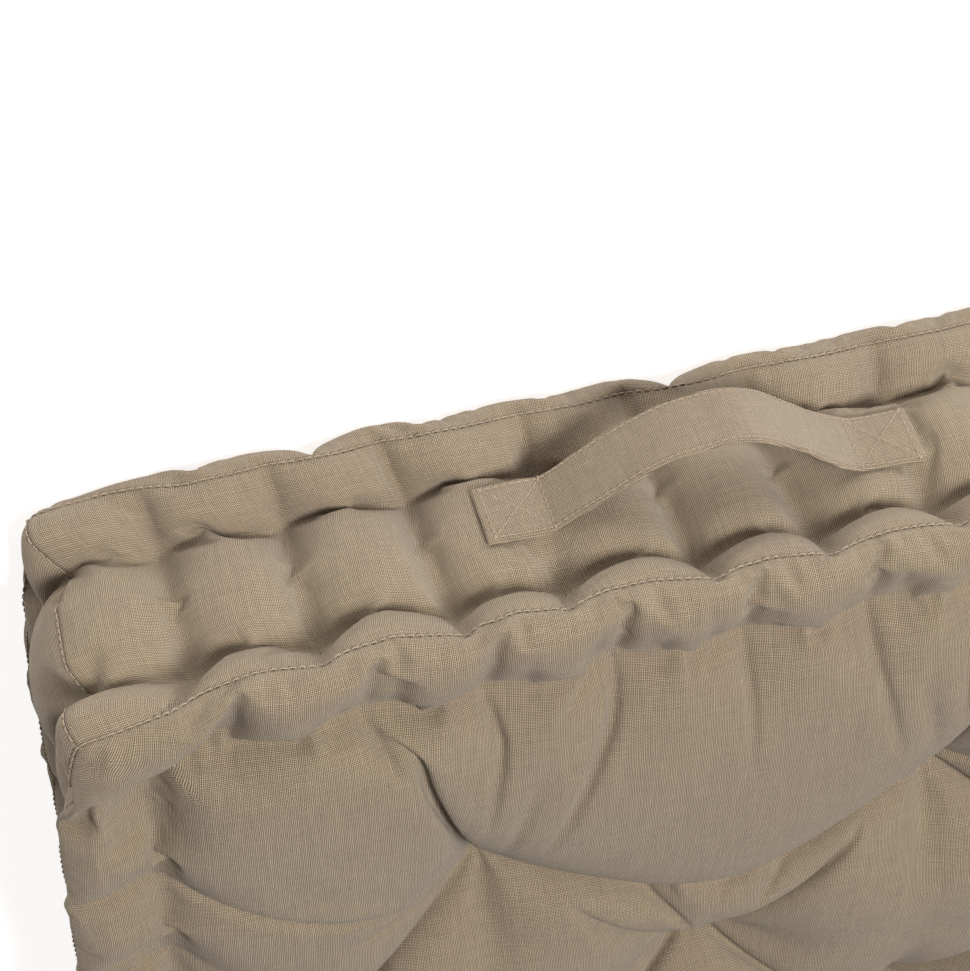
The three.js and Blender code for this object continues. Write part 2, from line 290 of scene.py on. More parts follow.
class CoverGrid:
    """The whole cover as one closed sheet of squares: a ring round the sides and two faces."""

    def __init__(self, sizes: CushionSizes, level: Level) -> None:
        """Lays out the sheet.

        Args:
            sizes: The cushion's sizes.
            level: How many squares the sheet has.
        """
        self.sizes = sizes
        self.n = level.columns
        self.around = 4 * level.columns
        self.rows = level.rows
        self.section, self.arc = resampled(self._outline(), level.rows)
        self.face_neck = self._row_near(sizes.crease_in - 1, sizes.thick - sizes.crease_drop - 1)
        self.wall_neck = self._row_near(sizes.crease_drop + 0.5, sizes.thick - sizes.crease_in + 1)
        self.seam = self._row_near(0.3, sizes.thick - sizes.seam_drop)
        self.ring = np.arange(self.rows * self.around).reshape(self.rows, self.around)
        inner = self.n - 1
        start = self.ring.size
        self.top = self._face(0, start)
        self.bottom = self._face(self.rows - 1, start + inner * inner)
        self.count = start + 2 * inner * inner
        self.flat = self._flat_points()
        self.inner_top = self._first_inside(self.top)
        self.inner_bottom = self._first_inside(self.bottom)

    def _outline(self) -> np.ndarray:
        """Draws the cross-section from the upper face round the roll, wall and lower roll."""
        s = self.sizes
        points = [(s.panel_edge, s.thick), (s.shoulder_in, s.thick - s.shoulder_drop)]
        points += [(s.crease_in, s.thick - s.crease_drop)]
        for turn in np.radians(np.linspace(s.roll_from, s.roll_to, 25)):
            points.append((s.roll + s.roll * math.cos(turn), s.thick - s.roll + s.roll * math.sin(turn)))
        points += [(s.crease_drop, s.thick - s.crease_in), (s.knee_in, s.thick - s.knee_drop)]
        points += [(s.wall_inset, s.thick - s.wall_end)]
        inset_from = s.thick / 2 + s.below_middle
        lower = [(d + s.lower_inset * (z > inset_from), s.thick - z) for d, z in reversed(points)]
        return np.array(points + lower)

    def _face(self, row: int, start: int) -> np.ndarray:
        """Numbers the points of a face, whose rim is a row of the ring."""
        n, rim = self.n, self.ring[row]
        face = np.zeros((n + 1, n + 1), int)
        face[1:n, 1:n] = start + np.arange((n - 1) ** 2).reshape(n - 1, n - 1)
        a = np.arange(n)
        face[a, 0] = rim[a]
        face[n, a] = rim[n + a]
        face[n - a, n] = rim[2 * n + a]
        face[0, n - a] = rim[3 * n + a]
        return face

    def _first_inside(self, face: np.ndarray) -> np.ndarray:
        """Gives, for each point of a face's rim, the point of the face next to it."""
        n, a = self.n, np.arange(self.n)
        inside = np.zeros(self.around, int)
        inside[a] = face[a, 1]
        inside[n + a] = face[n - 1, a]
        inside[2 * n + a] = face[n - a, n - 1]
        inside[3 * n + a] = face[1, n - a]
        corners = (face[1, 1], face[n - 1, 1], face[n - 1, n - 1], face[1, n - 1])
        inside[np.arange(4) * n] = corners
        return inside

    def corner_radius(self, inset: np.ndarray) -> np.ndarray:
        """Gives the plan radius of a corner at an inset from the outside."""
        return self.sizes.corner * np.clip(1 - inset / self.sizes.panel_edge, 0, 1)

    def plan(self, inset: np.ndarray, share: np.ndarray) -> tuple[np.ndarray, np.ndarray]:
        """Finds places along the front side, from the middle of one corner to the next.

        Args:
            inset: How far in from the outside.
            share: How far along the side, from 0 to 1.

        Returns:
            The two plan coordinates.
        """
        half = self.sizes.half - inset
        radius = self.corner_radius(inset)
        straight = half - radius
        along = (share - 0.5) * (2 * straight + math.pi * radius / 2)
        over = np.clip(np.abs(along) - straight, 0, None)
        turn = over / np.maximum(radius, 1e-6)
        x = np.sign(along) * (np.minimum(np.abs(along), straight) + radius * np.sin(turn))
        return x, -(straight + radius * np.cos(turn))

    def crowned(self, x: np.ndarray, y: np.ndarray, half: np.ndarray,
                z: np.ndarray) -> tuple[np.ndarray, np.ndarray]:
        """Bows the sides of the upper roll out in the middle.

        Args:
            x: Plan places.
            y: Plan places.
            half: Half the side of the square that each place lies on.
            z: Heights.

        Returns:
            The bowed plan coordinates.
        """
        u, v = x / half, y / half
        crown = self.sizes.crown * np.clip(z / self.sizes.thick, 0, 1) ** 2
        out_x = np.sign(u) * np.abs(u) ** 3 * crown * (1 - v * v)
        out_y = np.sign(v) * np.abs(v) ** 3 * crown * (1 - u * u)
        return x + out_x, y + out_y

    def _flat_points(self) -> np.ndarray:
        """Places every point of the sheet on the unfilled form."""
        points = np.zeros((self.count, 3))
        share = (np.arange(self.n) / self.n)[None, :]
        inset, height = self._climbed(share)
        x, y = self.plan(inset, share)
        for side in Side:
            index = self.ring[:, side.value * self.n:(side.value + 1) * self.n]
            sx, sy = self.crowned(*side.turn(x, y), self.sizes.half - inset, height)
            points[index] = np.stack([sx, sy, height], -1)
        for face, row in ((self.top, 0), (self.bottom, -1)):
            half = self.sizes.half - self.section[row, 0]
            line = np.linspace(-half, half, self.n + 1)
            square = np.meshgrid(line, line, indexing="ij")
            a, b = self.crowned(*square, half, self.section[row, 1])
            inner = face[1:-1, 1:-1]
            height = np.full(inner.shape, self.section[row, 1])
            points[inner] = np.stack([a[1:-1, 1:-1], b[1:-1, 1:-1], height], -1)
        return points

    def _climbed(self, share: np.ndarray) -> tuple[np.ndarray, np.ndarray]:
        """Gives the cross-section at each column, with the seams climbing towards the corners.

        Args:
            share: How far along the side each column is.

        Returns:
            The inset and height of every point of one side of the ring.
        """
        s, arc, total = self.sizes, self.arc, self.arc[-1]
        seam = arc[self.seam]
        reach = math.pi * s.roll * 0.5
        near_upper = np.clip(1 - np.abs(arc - seam) / reach, 0, 1)
        near_lower = np.clip(1 - np.abs(total - arc - seam) / reach, 0, 1)
        corner = np.minimum(share, 1 - share) * 2 * s.half / s.corner_run
        slid = s.seam_climb * np.exp(-(corner ** 2)) * (near_upper - near_lower)[:, None]
        place = arc[:, None] - slid
        return np.interp(place, arc, self.section[:, 0]), np.interp(place, arc, self.section[:, 1])

    def families(self) -> list[tuple[np.ndarray, np.ndarray, Link]]:
        """Lists the links of the cloth in groups that share no point.

        Returns:
            For each group, the points at both ends of its links and their kind.
        """
        made = []

        def add(a: np.ndarray, b: np.ndarray, kind: Link) -> None:
            """Adds a group of links."""
            made.append((a.ravel(), b.ravel(), kind))

        ring, rows, n = self.ring, self.rows, self.n
        after, second = np.roll(ring, -1, 1), np.roll(ring, -2, 1)
        faces = np.stack([self.top, self.bottom])
        for odd in (0, 1):
            add(ring[:, odd::2], after[:, odd::2], Link.THREAD)
            j = np.arange(odd, rows - 1, 2)
            add(ring[j], ring[j + 1], Link.THREAD)
            add(ring[j], after[j + 1], Link.SHEAR)
            add(after[j], ring[j + 1], Link.SHEAR)
            i = np.arange(odd, n, 2)
            add(faces[:, i, 1:n], faces[:, i + 1, 1:n], Link.THREAD)
            add(faces[:, 1:n, i], faces[:, 1:n, i + 1], Link.THREAD)
            add(faces[:, i, :n], faces[:, i + 1, 1:], Link.SHEAR)
            add(faces[:, i + 1, :n], faces[:, i, 1:], Link.SHEAR)
        for pair in ((0, 1), (2, 3)):
            k = np.arange(self.around)
            k = k[np.isin(k % 4, pair)]
            add(ring[:, k], second[:, k], Link.BEND)
            j = np.arange(rows - 2)
            j = j[np.isin(j % 4, pair)]
            add(ring[j], ring[j + 2], Link.BEND)
            i = np.arange(n - 1)
            i = i[np.isin(i % 4, pair)]
            add(faces[:, i, 1:n], faces[:, i + 2, 1:n], Link.BEND)
            add(faces[:, 1:n, i], faces[:, 1:n, i + 2], Link.BEND)
        k = np.arange(self.around)
        k = k[k % n != 0]
        add(ring[1][k], self.inner_top[k], Link.BEND)
        add(ring[rows - 2][k], self.inner_bottom[k], Link.BEND)
        return made

    def normals(self, points: np.ndarray) -> np.ndarray:
        """Finds the outward normal at each point, as long as the cloth area round it.

        Args:
            points: The sheet's points.

        Returns:
            One vector for each point.
        """
        out = np.empty_like(points)
        wide = points[np.concatenate([self.inner_top[None], self.ring, self.inner_bottom[None]])]
        across = wide[2:] - wide[:-2]
        middle = wide[1:-1]
        along = np.roll(middle, -1, 1) - np.roll(middle, 1, 1)
        out[self.ring] = np.cross(across, along) * 0.25
        for face, sign in ((self.top, 1.0), (self.bottom, -1.0)):
            p = points[face]
            a = p[2:, 1:-1] - p[:-2, 1:-1]
            b = p[1:-1, 2:] - p[1:-1, :-2]
            out[face[1:-1, 1:-1]] = np.cross(a, b) * 0.25 * sign
        return out

    def column_at(self, row: int, along: float) -> int:
        """Finds the column at a distance along one side, measured from the side's middle."""
        inset = self.section[row, 0]
        radius = float(self.corner_radius(inset))
        length = 2 * (self.sizes.half - inset - radius) + math.pi * radius / 2
        return round(float(np.clip(along / length + 0.5, 0, 1)) * self.n)

    def _row_near(self, inset: float, height: float) -> int:
        """Gives the row of the ring that is nearest to a place on the cross-section."""
        return int(np.argmin(np.hypot(self.section[:, 0] - inset, self.section[:, 1] - height)))

    def refined(self, points: np.ndarray, fine: "CoverGrid") -> np.ndarray:
        """Carries a solution over to a sheet of twice as many squares each way.

        Args:
            points: The points of this sheet.
            fine: The finer sheet.

        Returns:
            The points of the finer sheet.
        """
        out = np.zeros((fine.count, 3), points.dtype)
        ring = self._halved(points[self.ring], 0)
        closed = np.concatenate([ring, ring[:, :1]], 1)
        out[fine.ring] = self._halved(closed, 1)[:, :-1]
        for mine, other in ((self.top, fine.top), (self.bottom, fine.bottom)):
            face = self._halved(self._halved(points[mine], 0), 1)
            out[other[1:-1, 1:-1]] = face[1:-1, 1:-1]
        return out

    @staticmethod
    def _halved(values: np.ndarray, axis: int) -> np.ndarray:
        """Puts a point halfway between each two neighbours along an axis, on a smooth curve."""
        v = np.moveaxis(values, axis, 0)
        before = np.concatenate([v[:1], v[:-2]])
        after = np.concatenate([v[2:], v[-1:]])
        middle = (v[:-1] + v[1:]) * 0.5625 - (before + after) * 0.0625
        middle[0] = (v[0] + v[1]) / 2
        middle[-1] = (v[-2] + v[-1]) / 2
        out = np.empty((2 * len(v) - 1, *v.shape[1:]), v.dtype)
        out[0::2], out[1::2] = v, middle
        return np.moveaxis(out, 0, axis)


@dataclass(frozen=True)
class HandlePlan:
    """Sizes of the carry strap in millimetres, worked out from the frame."""

    low: float
    high: float
    plane: float
    patch_out: float
    patch_in: float = 68.5
    thick: float = 2.7
    margin: float = 2.3

    @classmethod
    def from_frame(cls, sizes: CushionSizes) -> "HandlePlan":
        """Reads where the sewn ends of the handle are.

        Args:
            sizes: The cushion's sizes.

        Returns:
            The handle's plan.
        """
        low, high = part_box("handle_end_right")
        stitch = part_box("handle_stitch_right")
        return cls(
            low=low[2] / MM,
            high=high[2] / MM,
            plane=stitch[1][1] / MM - sizes.shift - 0.5,
            patch_out=high[0] / MM,
        )


class CoverTies:
    """The points of the cover that thread holds: roll stitches, tufts and the sewn handle ends."""

    full_share = 0.75
    tuft_reach = 5.0
    tuft_gather = 0.45
    tuft_cone = 0.16

    def __init__(self, sizes: CushionSizes, stitching: EdgeStitching, handle: HandlePlan) -> None:
        """Keeps what the ties need.

        Args:
            sizes: The cushion's sizes.
            stitching: The roll stitching.
            handle: Where the handle is sewn down.
        """
        self.sizes = sizes
        self.stitching = stitching
        self.handle = handle

    def held(self, grid: CoverGrid) -> tuple[np.ndarray, np.ndarray]:
        """Gathers every held point of a sheet.

        Args:
            grid: The sheet.

        Returns:
            The points' numbers and the places that the ties pull them to.
        """
        held = self._roll_ties(grid) + self._corners(grid) + self._tufts(grid) + self._handle_ends(grid)
        return np.array([p for p, _ in held]), np.array([place for _, place in held], np.float32)

    def _roll_ties(self, grid: CoverGrid) -> list[tuple[int, tuple]]:
        """Finds the stitches on both sides of both rolls."""
        s, rng = self.sizes, np.random.default_rng(SEED)
        sewing = self.stitching
        rolls = ((True, grid.face_neck, sewing.face_pull, sewing.face_way),
                 (False, grid.wall_neck, sewing.boxing_pull, sewing.boxing_way))
        held = []
        for lower in (False, True):
            for side in Side:
                for on_face, row, pull, (inward, down) in rolls:
                    inset, height = grid.section[row]
                    pulls = [(along, pull * rng.uniform(*sewing.uneven))
                             for along in sewing.places(side, lower, on_face)]
                    pulls.append((-s.half, sewing.corner_pull))
                    for along, depth in pulls:
                        column = grid.column_at(row, along)
                        d, z = inset + inward * depth + lower * s.lower_inset, height + down * depth
                        x, y = grid.plan(np.array([d]), np.array([column / grid.n]))
                        z = s.thick - z if lower else z
                        x, y = grid.crowned(*side.turn(x, y), s.half - d, z)
                        here = grid.rows - 1 - row if lower else row
                        point = grid.ring[here, (side.value * grid.n + column) % grid.around]
                        held.append((point, (x[0], y[0], z)))
        return held

    def _corners(self, grid: CoverGrid) -> list[tuple[int, tuple]]:
        """Finds the outer cloth of each roll at the corners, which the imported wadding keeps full."""
        s = self.sizes
        seam = grid.arc[grid.seam]
        held = []
        for lower in (False, True):
            near = grid.arc[-1] - grid.arc if lower else grid.arc
            for row in np.nonzero(np.abs(near - seam) < s.roll * self.full_share)[0]:
                for side in Side:
                    point = grid.ring[row, side.value * grid.n]
                    held.append((point, tuple(grid.flat[point])))
        return held

    def _tufts(self, grid: CoverGrid) -> list[tuple[int, tuple]]:
        """Finds the gathered cloth at the bottom of each dimple."""
        s = self.sizes
        held = []
        for face, sign, level, row in ((grid.top, 1, s.thick - s.tuft_depth, 0),
                                       (grid.bottom, -1, s.tuft_depth, -1)):
            half = s.half - grid.section[row, 0]
            square = 2 * half / grid.n
            reach = max(1, round(self.tuft_reach / square))
            for x, y in s.tufts():
                a, b = (round((place + half) / square) for place in (x, y))
                for i in range(-reach, reach + 1):
                    for j in range(-reach, reach + 1):
                        away = math.hypot(i, j) * square
                        if away <= reach * square + 0.1:
                            gather = self.tuft_gather * square
                            height = level + sign * away * self.tuft_cone
                            place = (x + i * gather, y + j * gather, height)
                            held.append((face[a + i, b + j], place))
        return held

    def _handle_ends(self, grid: CoverGrid) -> list[tuple[int, tuple]]:
        """Finds the boxing cloth under the sewn ends of the handle, which lies flat."""
        h, s = self.handle, self.sizes
        held = []
        front = grid.ring[:, :grid.n]
        points = grid.flat[front]
        wall = (grid.section[:, 0] < s.crease_drop)[:, None]
        across = (points[..., 2] > h.low + 1) & (points[..., 2] < h.high - 1)
        along = (np.abs(points[..., 0]) > h.patch_in - 1) & (np.abs(points[..., 0]) < h.patch_out)
        for row, column in zip(*np.nonzero(wall & across & along)):
            x, _, z = points[row, column]
            held.append((front[row, column], (x, h.plane, z)))
        return held


class ClothSolver:
    """Fills and ties the cover: a position-based cloth of threads, shear and bending links."""

    dimple_reach = 60.0
    dimple_power = 1.6
    free_reach = 12.0
    draw_share = 0.35
    blow_every = 3
    top_speed = 2.0

    def __init__(self, sizes: CushionSizes, filling: Filling, ties: CoverTies) -> None:
        """Keeps what drives the cloth.

        Args:
            sizes: The cushion's sizes.
            filling: Pressures and fullness.
            ties: What holds the cloth.
        """
        self.sizes = sizes
        self.filling = filling
        self.ties = ties
        self.pleats = Pleats()

    def _pleat_weights(self, grid: CoverGrid) -> np.ndarray:
        """Gives how strongly each point of the ring is creased.

        Args:
            grid: The sheet.

        Returns:
            One strength for each point of the sheet.
        """
        s, p = self.sizes, self.pleats
        sewing = self.ties.stitching
        face, wall, seam = grid.face_neck, grid.wall_neck, grid.seam
        arc, total = grid.arc, grid.arc[-1]
        share = (np.arange(grid.n) / grid.n)[None, :]
        along, _ = grid.plan(grid.section[:, :1], share)
        width = max(p.width, 0.75 * 2 * s.half / grid.n)
        weight = np.zeros(grid.count)
        for side in Side:
            block = np.zeros_like(along)
            for lower in (False, True):
                rng = np.random.default_rng([SEED, side.value, int(lower)])
                near = total - arc if lower else arc
                to_seam = (near - arc[face]) / (arc[seam] - arc[face])
                to_neck = (arc[wall] - near) / (arc[wall] - arc[seam])
                flanks = ((True, to_seam, p.on_face_flank), (False, to_neck, p.on_boxing_flank))
                for on_face, share_up, strength in flanks:
                    for place in sewing.places(side, lower, on_face):
                        pleats = [(0.0, strength, 1.0)]
                        for _ in range(p.side_count if on_face else 0):
                            off = rng.choice((-1, 1)) * rng.uniform(p.side_from, p.side_to)
                            strong = p.side_pleats * rng.uniform(*p.side_strength)
                            pleats.append((off, strong, rng.uniform(*p.side_length)))
                        for off, pull, length in pleats:
                            slant = rng.uniform(-1, 1) * p.slant + off * p.splay
                            rise = np.clip(share_up / length, -p.below, p.beyond)[:, None]
                            inside = ((share_up > -p.below) & (share_up < p.beyond * length))[:, None]
                            fade = pull * (1 - p.fading[0] * rise - p.fading[1] * rise ** 4) * inside
                            fade = np.clip(fade, 0, None)
                            line = along - (place + off) - slant * rise
                            block = np.maximum(block, fade * np.exp(-((line / width) ** 2)))
                corner = along + s.half - p.corner_from
                across = ((to_seam > -0.1) & (to_neck > -0.1))[:, None]
                block = np.maximum(block, p.at_corner * across * np.exp(-((corner / width) ** 2)))
                straight = np.abs(along) < s.half - s.corner_run * 0.7
                for neck in (arc[face], arc[wall]):
                    away = (near - neck)[:, None] / max(p.neck_width, 0.6 * (arc[1] - arc[0]))
                    block = np.maximum(block, p.on_neck * np.exp(-(away ** 2)) * straight)
            upper_places = sewing.places(side, False, False)
            lower_places = sewing.places(side, True, False)
            rng = np.random.default_rng([SEED, side.value, 5])
            down = ((arc - arc[wall]) / (total - 2 * arc[wall]))[:, None]
            inside = (down > 0) & (down < 1)
            for upper, under in zip(upper_places, lower_places):
                bend = rng.uniform(-p.wall_bend, p.wall_bend)
                line = along - (upper + (under - upper) * down + bend * np.sin(down * math.pi))
                shallow = 1 - p.wall_shallow * np.sin(down * math.pi)
                depth = p.on_wall * rng.uniform(*p.wall_uneven) * shallow * inside
                crease = max(p.wall_width, width)
                block = np.maximum(block, depth * np.exp(-((line / crease) ** 2)))
            columns = slice(side.value * grid.n, (side.value + 1) * grid.n)
            weight[grid.ring[:, columns]] = block
        return weight

    def start(self, grid: CoverGrid) -> np.ndarray:
        """Gives the unfilled form with a shallow hollow at each tuft."""
        points = grid.flat.copy()
        for face, sign in ((grid.top, -1), (grid.bottom, 1)):
            inner = face[1:-1, 1:-1]
            dip = np.zeros(inner.shape)
            for x, y in self.sizes.tufts():
                away = np.hypot(points[inner][..., 0] - x, points[inner][..., 1] - y)
                slope = np.clip(1 - away / self.dimple_reach, 0, 1) ** self.dimple_power
                dip = np.maximum(dip, self.sizes.tuft_depth * slope)
            points[inner, 2] += sign * dip
        return points

    def _heights(self, grid: CoverGrid) -> np.ndarray:
        """Gives how far each row of the ring is from the nearer face's plane."""
        z = grid.section[:, 1]
        return np.minimum(z, self.sizes.thick - z)

    def _fullness(self, grid: CoverGrid) -> np.ndarray:
        """Gives how much longer than its flat form the cloth is at each point."""
        f, inset, near = self.filling, grid.section[:, 0], self._heights(grid)
        seam = np.exp(-(((near - self.sizes.seam_drop) / f.seam_width) ** 2)) * (inset < f.outer_zone)
        rows = 1 + f.roll_fullness * (1 - seam)
        rows = np.where((inset < f.outer_zone) & (near > f.roll_zone), 1 + f.wall_fullness, rows)
        rows = np.where(inset > self.sizes.crease_in - 2, 1 + f.panel_fullness, rows)
        full = np.full(grid.count, 1 + f.panel_fullness)
        full[grid.ring] = rows[:, None]
        return full

    def _push(self, grid: CoverGrid) -> np.ndarray:
        """Gives how hard the filling pushes at each point."""
        f, near = self.filling, self._heights(grid)
        inset = grid.section[:, 0]
        wall = (inset < f.outer_zone) & (near > f.roll_zone)
        rows = np.where(wall, f.wall_push, np.where(near < f.roll_zone, f.roll_push, 1.0))
        rows = np.where((inset > self.sizes.crease_in - 2) & (near < f.face_zone), f.panel_push, rows)
        push = np.full(grid.count, f.panel_push)
        push[grid.ring] = rows[:, None]
        return push

    def _valleys(self, grid: CoverGrid) -> np.ndarray:
        """Gives how strongly each point of a face is drawn down between two tufts."""
        tx, ty = self.sizes.tuft_x, self.sizes.tuft_y
        lines = [((-tx, -ty), (tx, -ty), 22, 1.15), ((-tx, ty), (tx, ty), -24, 1.0)]
        for s in (-1, 1):
            lines += [((s * tx, -ty), (2 * s * tx, 0), 0, 0.9), ((s * tx, ty), (2 * s * tx, 0), 0, 0.9)]
            lines += [((s * tx, -ty), (s * tx, ty), 0, 0.7), ((0, 0), (2 * s * tx, 0), 8, 0.6)]
        weight = np.zeros(grid.count)
        for face in (grid.top, grid.bottom):
            inner = face[1:-1, 1:-1]
            place = grid.flat[inner][..., :2]
            for a, b, sag, strength in lines:
                share = np.linspace(0, 1, 25)[:, None]
                line = np.array(a) + (np.array(b) - np.array(a)) * share
                line[:, 1] += sag * (4 * share * (1 - share))[:, 0]
                away = self._distance(place, line)
                pull = strength * np.exp(-((away / self.filling.valley_width) ** 2))
                weight[inner] = np.maximum(weight[inner], pull)
        return weight

    @staticmethod
    def _distance(places: np.ndarray, line: np.ndarray) -> np.ndarray:
        """Measures how far places are from a line of many short pieces."""
        nearest = np.full(places.shape[:2], np.inf)
        for start, end in zip(line[:-1], line[1:]):
            step = end - start
            share = np.clip(((places - start) @ step) / (step @ step), 0, 1)
            away = np.linalg.norm(places - start - share[..., None] * step, axis=-1)
            nearest = np.minimum(nearest, away)
        return nearest

    def settle(self, grid: CoverGrid, points: np.ndarray, level: Level) -> np.ndarray:
        """Lets the cloth come to rest.

        Args:
            grid: The sheet.
            points: Where the sheet starts.
            level: How many steps, how hard a push and how stiff a bend.

        Returns:
            The sheet at rest.
        """
        f, thick = self.filling, self.sizes.thick
        full = self._fullness(grid)
        stiffness = {Link.THREAD: 0.5, Link.SHEAR: 0.175, Link.BEND: level.bend / 2}
        links = []
        for a, b, kind in grid.families():
            way = grid.flat[a] - grid.flat[b]
            length = np.linalg.norm(way, axis=1)
            spare = (full[a] + full[b]) / 2 - 1
            length *= 1 + spare * (1 - f.upright_loss * np.abs(way[:, 2]) / length)
            links.append((a, b, length.astype(np.float32), np.float32(stiffness[kind])))
        x = points.astype(np.float32)
        v = np.zeros_like(x)
        held, target = self.ties.held(grid)
        begin = x[held].copy()
        area = np.linalg.norm(grid.normals(grid.flat), axis=1)
        mean = area[grid.top[1:-1, 1:-1]].mean()
        push = (self._push(grid) / mean * level.push).astype(np.float32)
        push *= (1 - level.crease * self._pleat_weights(grid)).astype(np.float32)
        valley = (self._valleys(grid) * level.push * f.valley_pull).astype(np.float32)
        reach = self.sizes.half + self.free_reach
        drawn_in = level.steps * self.draw_share
        for step in range(level.steps):
            if step % self.blow_every == 0:
                blow = grid.normals(x) * push[:, None]
                over = np.clip((x[:, 2] - thick) / f.bulge_limit, 0, 1)
                blow[:, 2] *= 1 - over
            v *= f.damping
            v += blow
            v[:, 2] -= np.where(x[:, 2] > thick / 2, valley, -valley)
            old = x.copy()
            x += v
            for a, b, length, stiff in links:
                d = x[b] - x[a]
                now = np.sqrt(np.einsum("ij,ij->i", d, d))
                d *= (stiff * (now - length) / np.maximum(now, 1e-6))[:, None]
                x[a] += d
                x[b] -= d
            x[held] = begin + (target - begin) * min(1.0, (step + 1) / drawn_in)
            np.maximum(x[:, 2], 0, out=x[:, 2])
            np.minimum(x[:, 2], thick + f.bulge_limit, out=x[:, 2])
            np.clip(x[:, :2], -reach, reach, out=x[:, :2])
            v = np.clip(x - old, -self.top_speed, self.top_speed)
        return x


Feed = float | tuple | bpy.types.NodeSocket


class Graph:
    """A node tree that is being written."""

    def __init__(self, tree: bpy.types.NodeTree) -> None:
        """Keeps the tree.

        Args:
            tree: The node tree to write in.
        """
        self.tree = tree

    def node(self, kind: str, inputs: dict | None = None, **settings: object) -> bpy.types.Node:
        """Adds a node.

        Args:
            kind: The node's type.
            inputs: What its sockets hold, or the sockets that feed them.
            settings: Its properties.

        Returns:
            The node.
        """
        made = self.tree.nodes.new(kind)
        for name, value in settings.items():
            setattr(made, name, value)
        for name, value in (inputs or {}).items():
            if isinstance(value, bpy.types.NodeSocket):
                self.tree.links.new(value, made.inputs[name])
            else:
                made.inputs[name].default_value = value
        return made

    def math(self, operation: str, *values: Feed) -> bpy.types.NodeSocket:
        """Adds a Math node and gives its output."""
        return self.node("ShaderNodeMath", dict(enumerate(values)), operation=operation).outputs[0]

    def vector(self, x: Feed, y: Feed, z: Feed = 0.0) -> bpy.types.NodeSocket:
        """Joins three numbers into a vector."""
        return self.node("ShaderNodeCombineXYZ", {0: x, 1: y, 2: z}).outputs[0]

    def noise(self, place: Feed, scale: float, detail: float = 2.0) -> bpy.types.NodeSocket:
        """Adds a noise texture and gives its value."""
        inputs = {"Vector": place, "Scale": scale, "Detail": detail}
        return self.node("ShaderNodeTexNoise", inputs).outputs[0]

    def remap(self, value: Feed, low: float, high: float, to_low: float,
              to_high: float) -> bpy.types.NodeSocket:
        """Moves a value from one range to another, and keeps it there."""
        names = ("Value", "From Min", "From Max", "To Min", "To Max")
        inputs = dict(zip(names, (value, low, high, to_low, to_high)))
        return self.node("ShaderNodeMapRange", inputs).outputs[0]

    def blend(self, share: Feed, first: Feed, second: Feed) -> bpy.types.NodeSocket:
        """Mixes two colours."""
        made = self.node("ShaderNodeMix", data_type="RGBA")
        for index, value in ((0, share), (6, first), (7, second)):
            if isinstance(value, bpy.types.NodeSocket):
                self.tree.links.new(value, made.inputs[index])
            else:
                made.inputs[index].default_value = value
        return made.outputs[2]


def new_material(name: str, roughness: float) -> tuple[bpy.types.Material, Graph, bpy.types.Node]:
    """Starts a material.

    Args:
        name: The material's name.
        roughness: How rough it is.

    Returns:
        The material, a graph of its nodes and its shader.
    """
    material = bpy.data.materials.new(name)
    material.use_nodes = True
    shader = material.node_tree.nodes["Principled BSDF"]
    shader.inputs["Roughness"].default_value = roughness
    return material, Graph(material.node_tree), shader


def new_group(name: str, inputs: dict[str, tuple], outputs: dict[str, str]) -> tuple:
    """Starts a shader node group.

    Args:
        name: The group's name.
        inputs: For each input, its kind of socket and its value.
        outputs: For each output, its kind of socket.

    Returns:
        The group, a graph of it, its input node and its output node.
    """
    group = bpy.data.node_groups.new(name, "ShaderNodeTree")
    for title, (kind, value) in inputs.items():
        socket = group.interface.new_socket(title, in_out="INPUT", socket_type=kind)
        if value is not None:
            socket.default_value = value
    for title, kind in outputs.items():
        group.interface.new_socket(title, in_out="OUTPUT", socket_type=kind)
    graph = Graph(group)
    return group, graph, graph.node("NodeGroupInput"), graph.node("NodeGroupOutput")


class SharedTree:
    """A node tree that is built once and then shared."""

    tree: bpy.types.NodeTree | None = None

    @classmethod
    def get(cls) -> bpy.types.NodeTree:
        """Gives the tree, and builds it the first time.

        Returns:
            The node tree.
        """
        if cls.tree is None:
            cls.tree = cls._build()
        return cls.tree

    @classmethod
    def _build(cls) -> bpy.types.NodeTree:
        """Builds the tree."""
        raise NotImplementedError


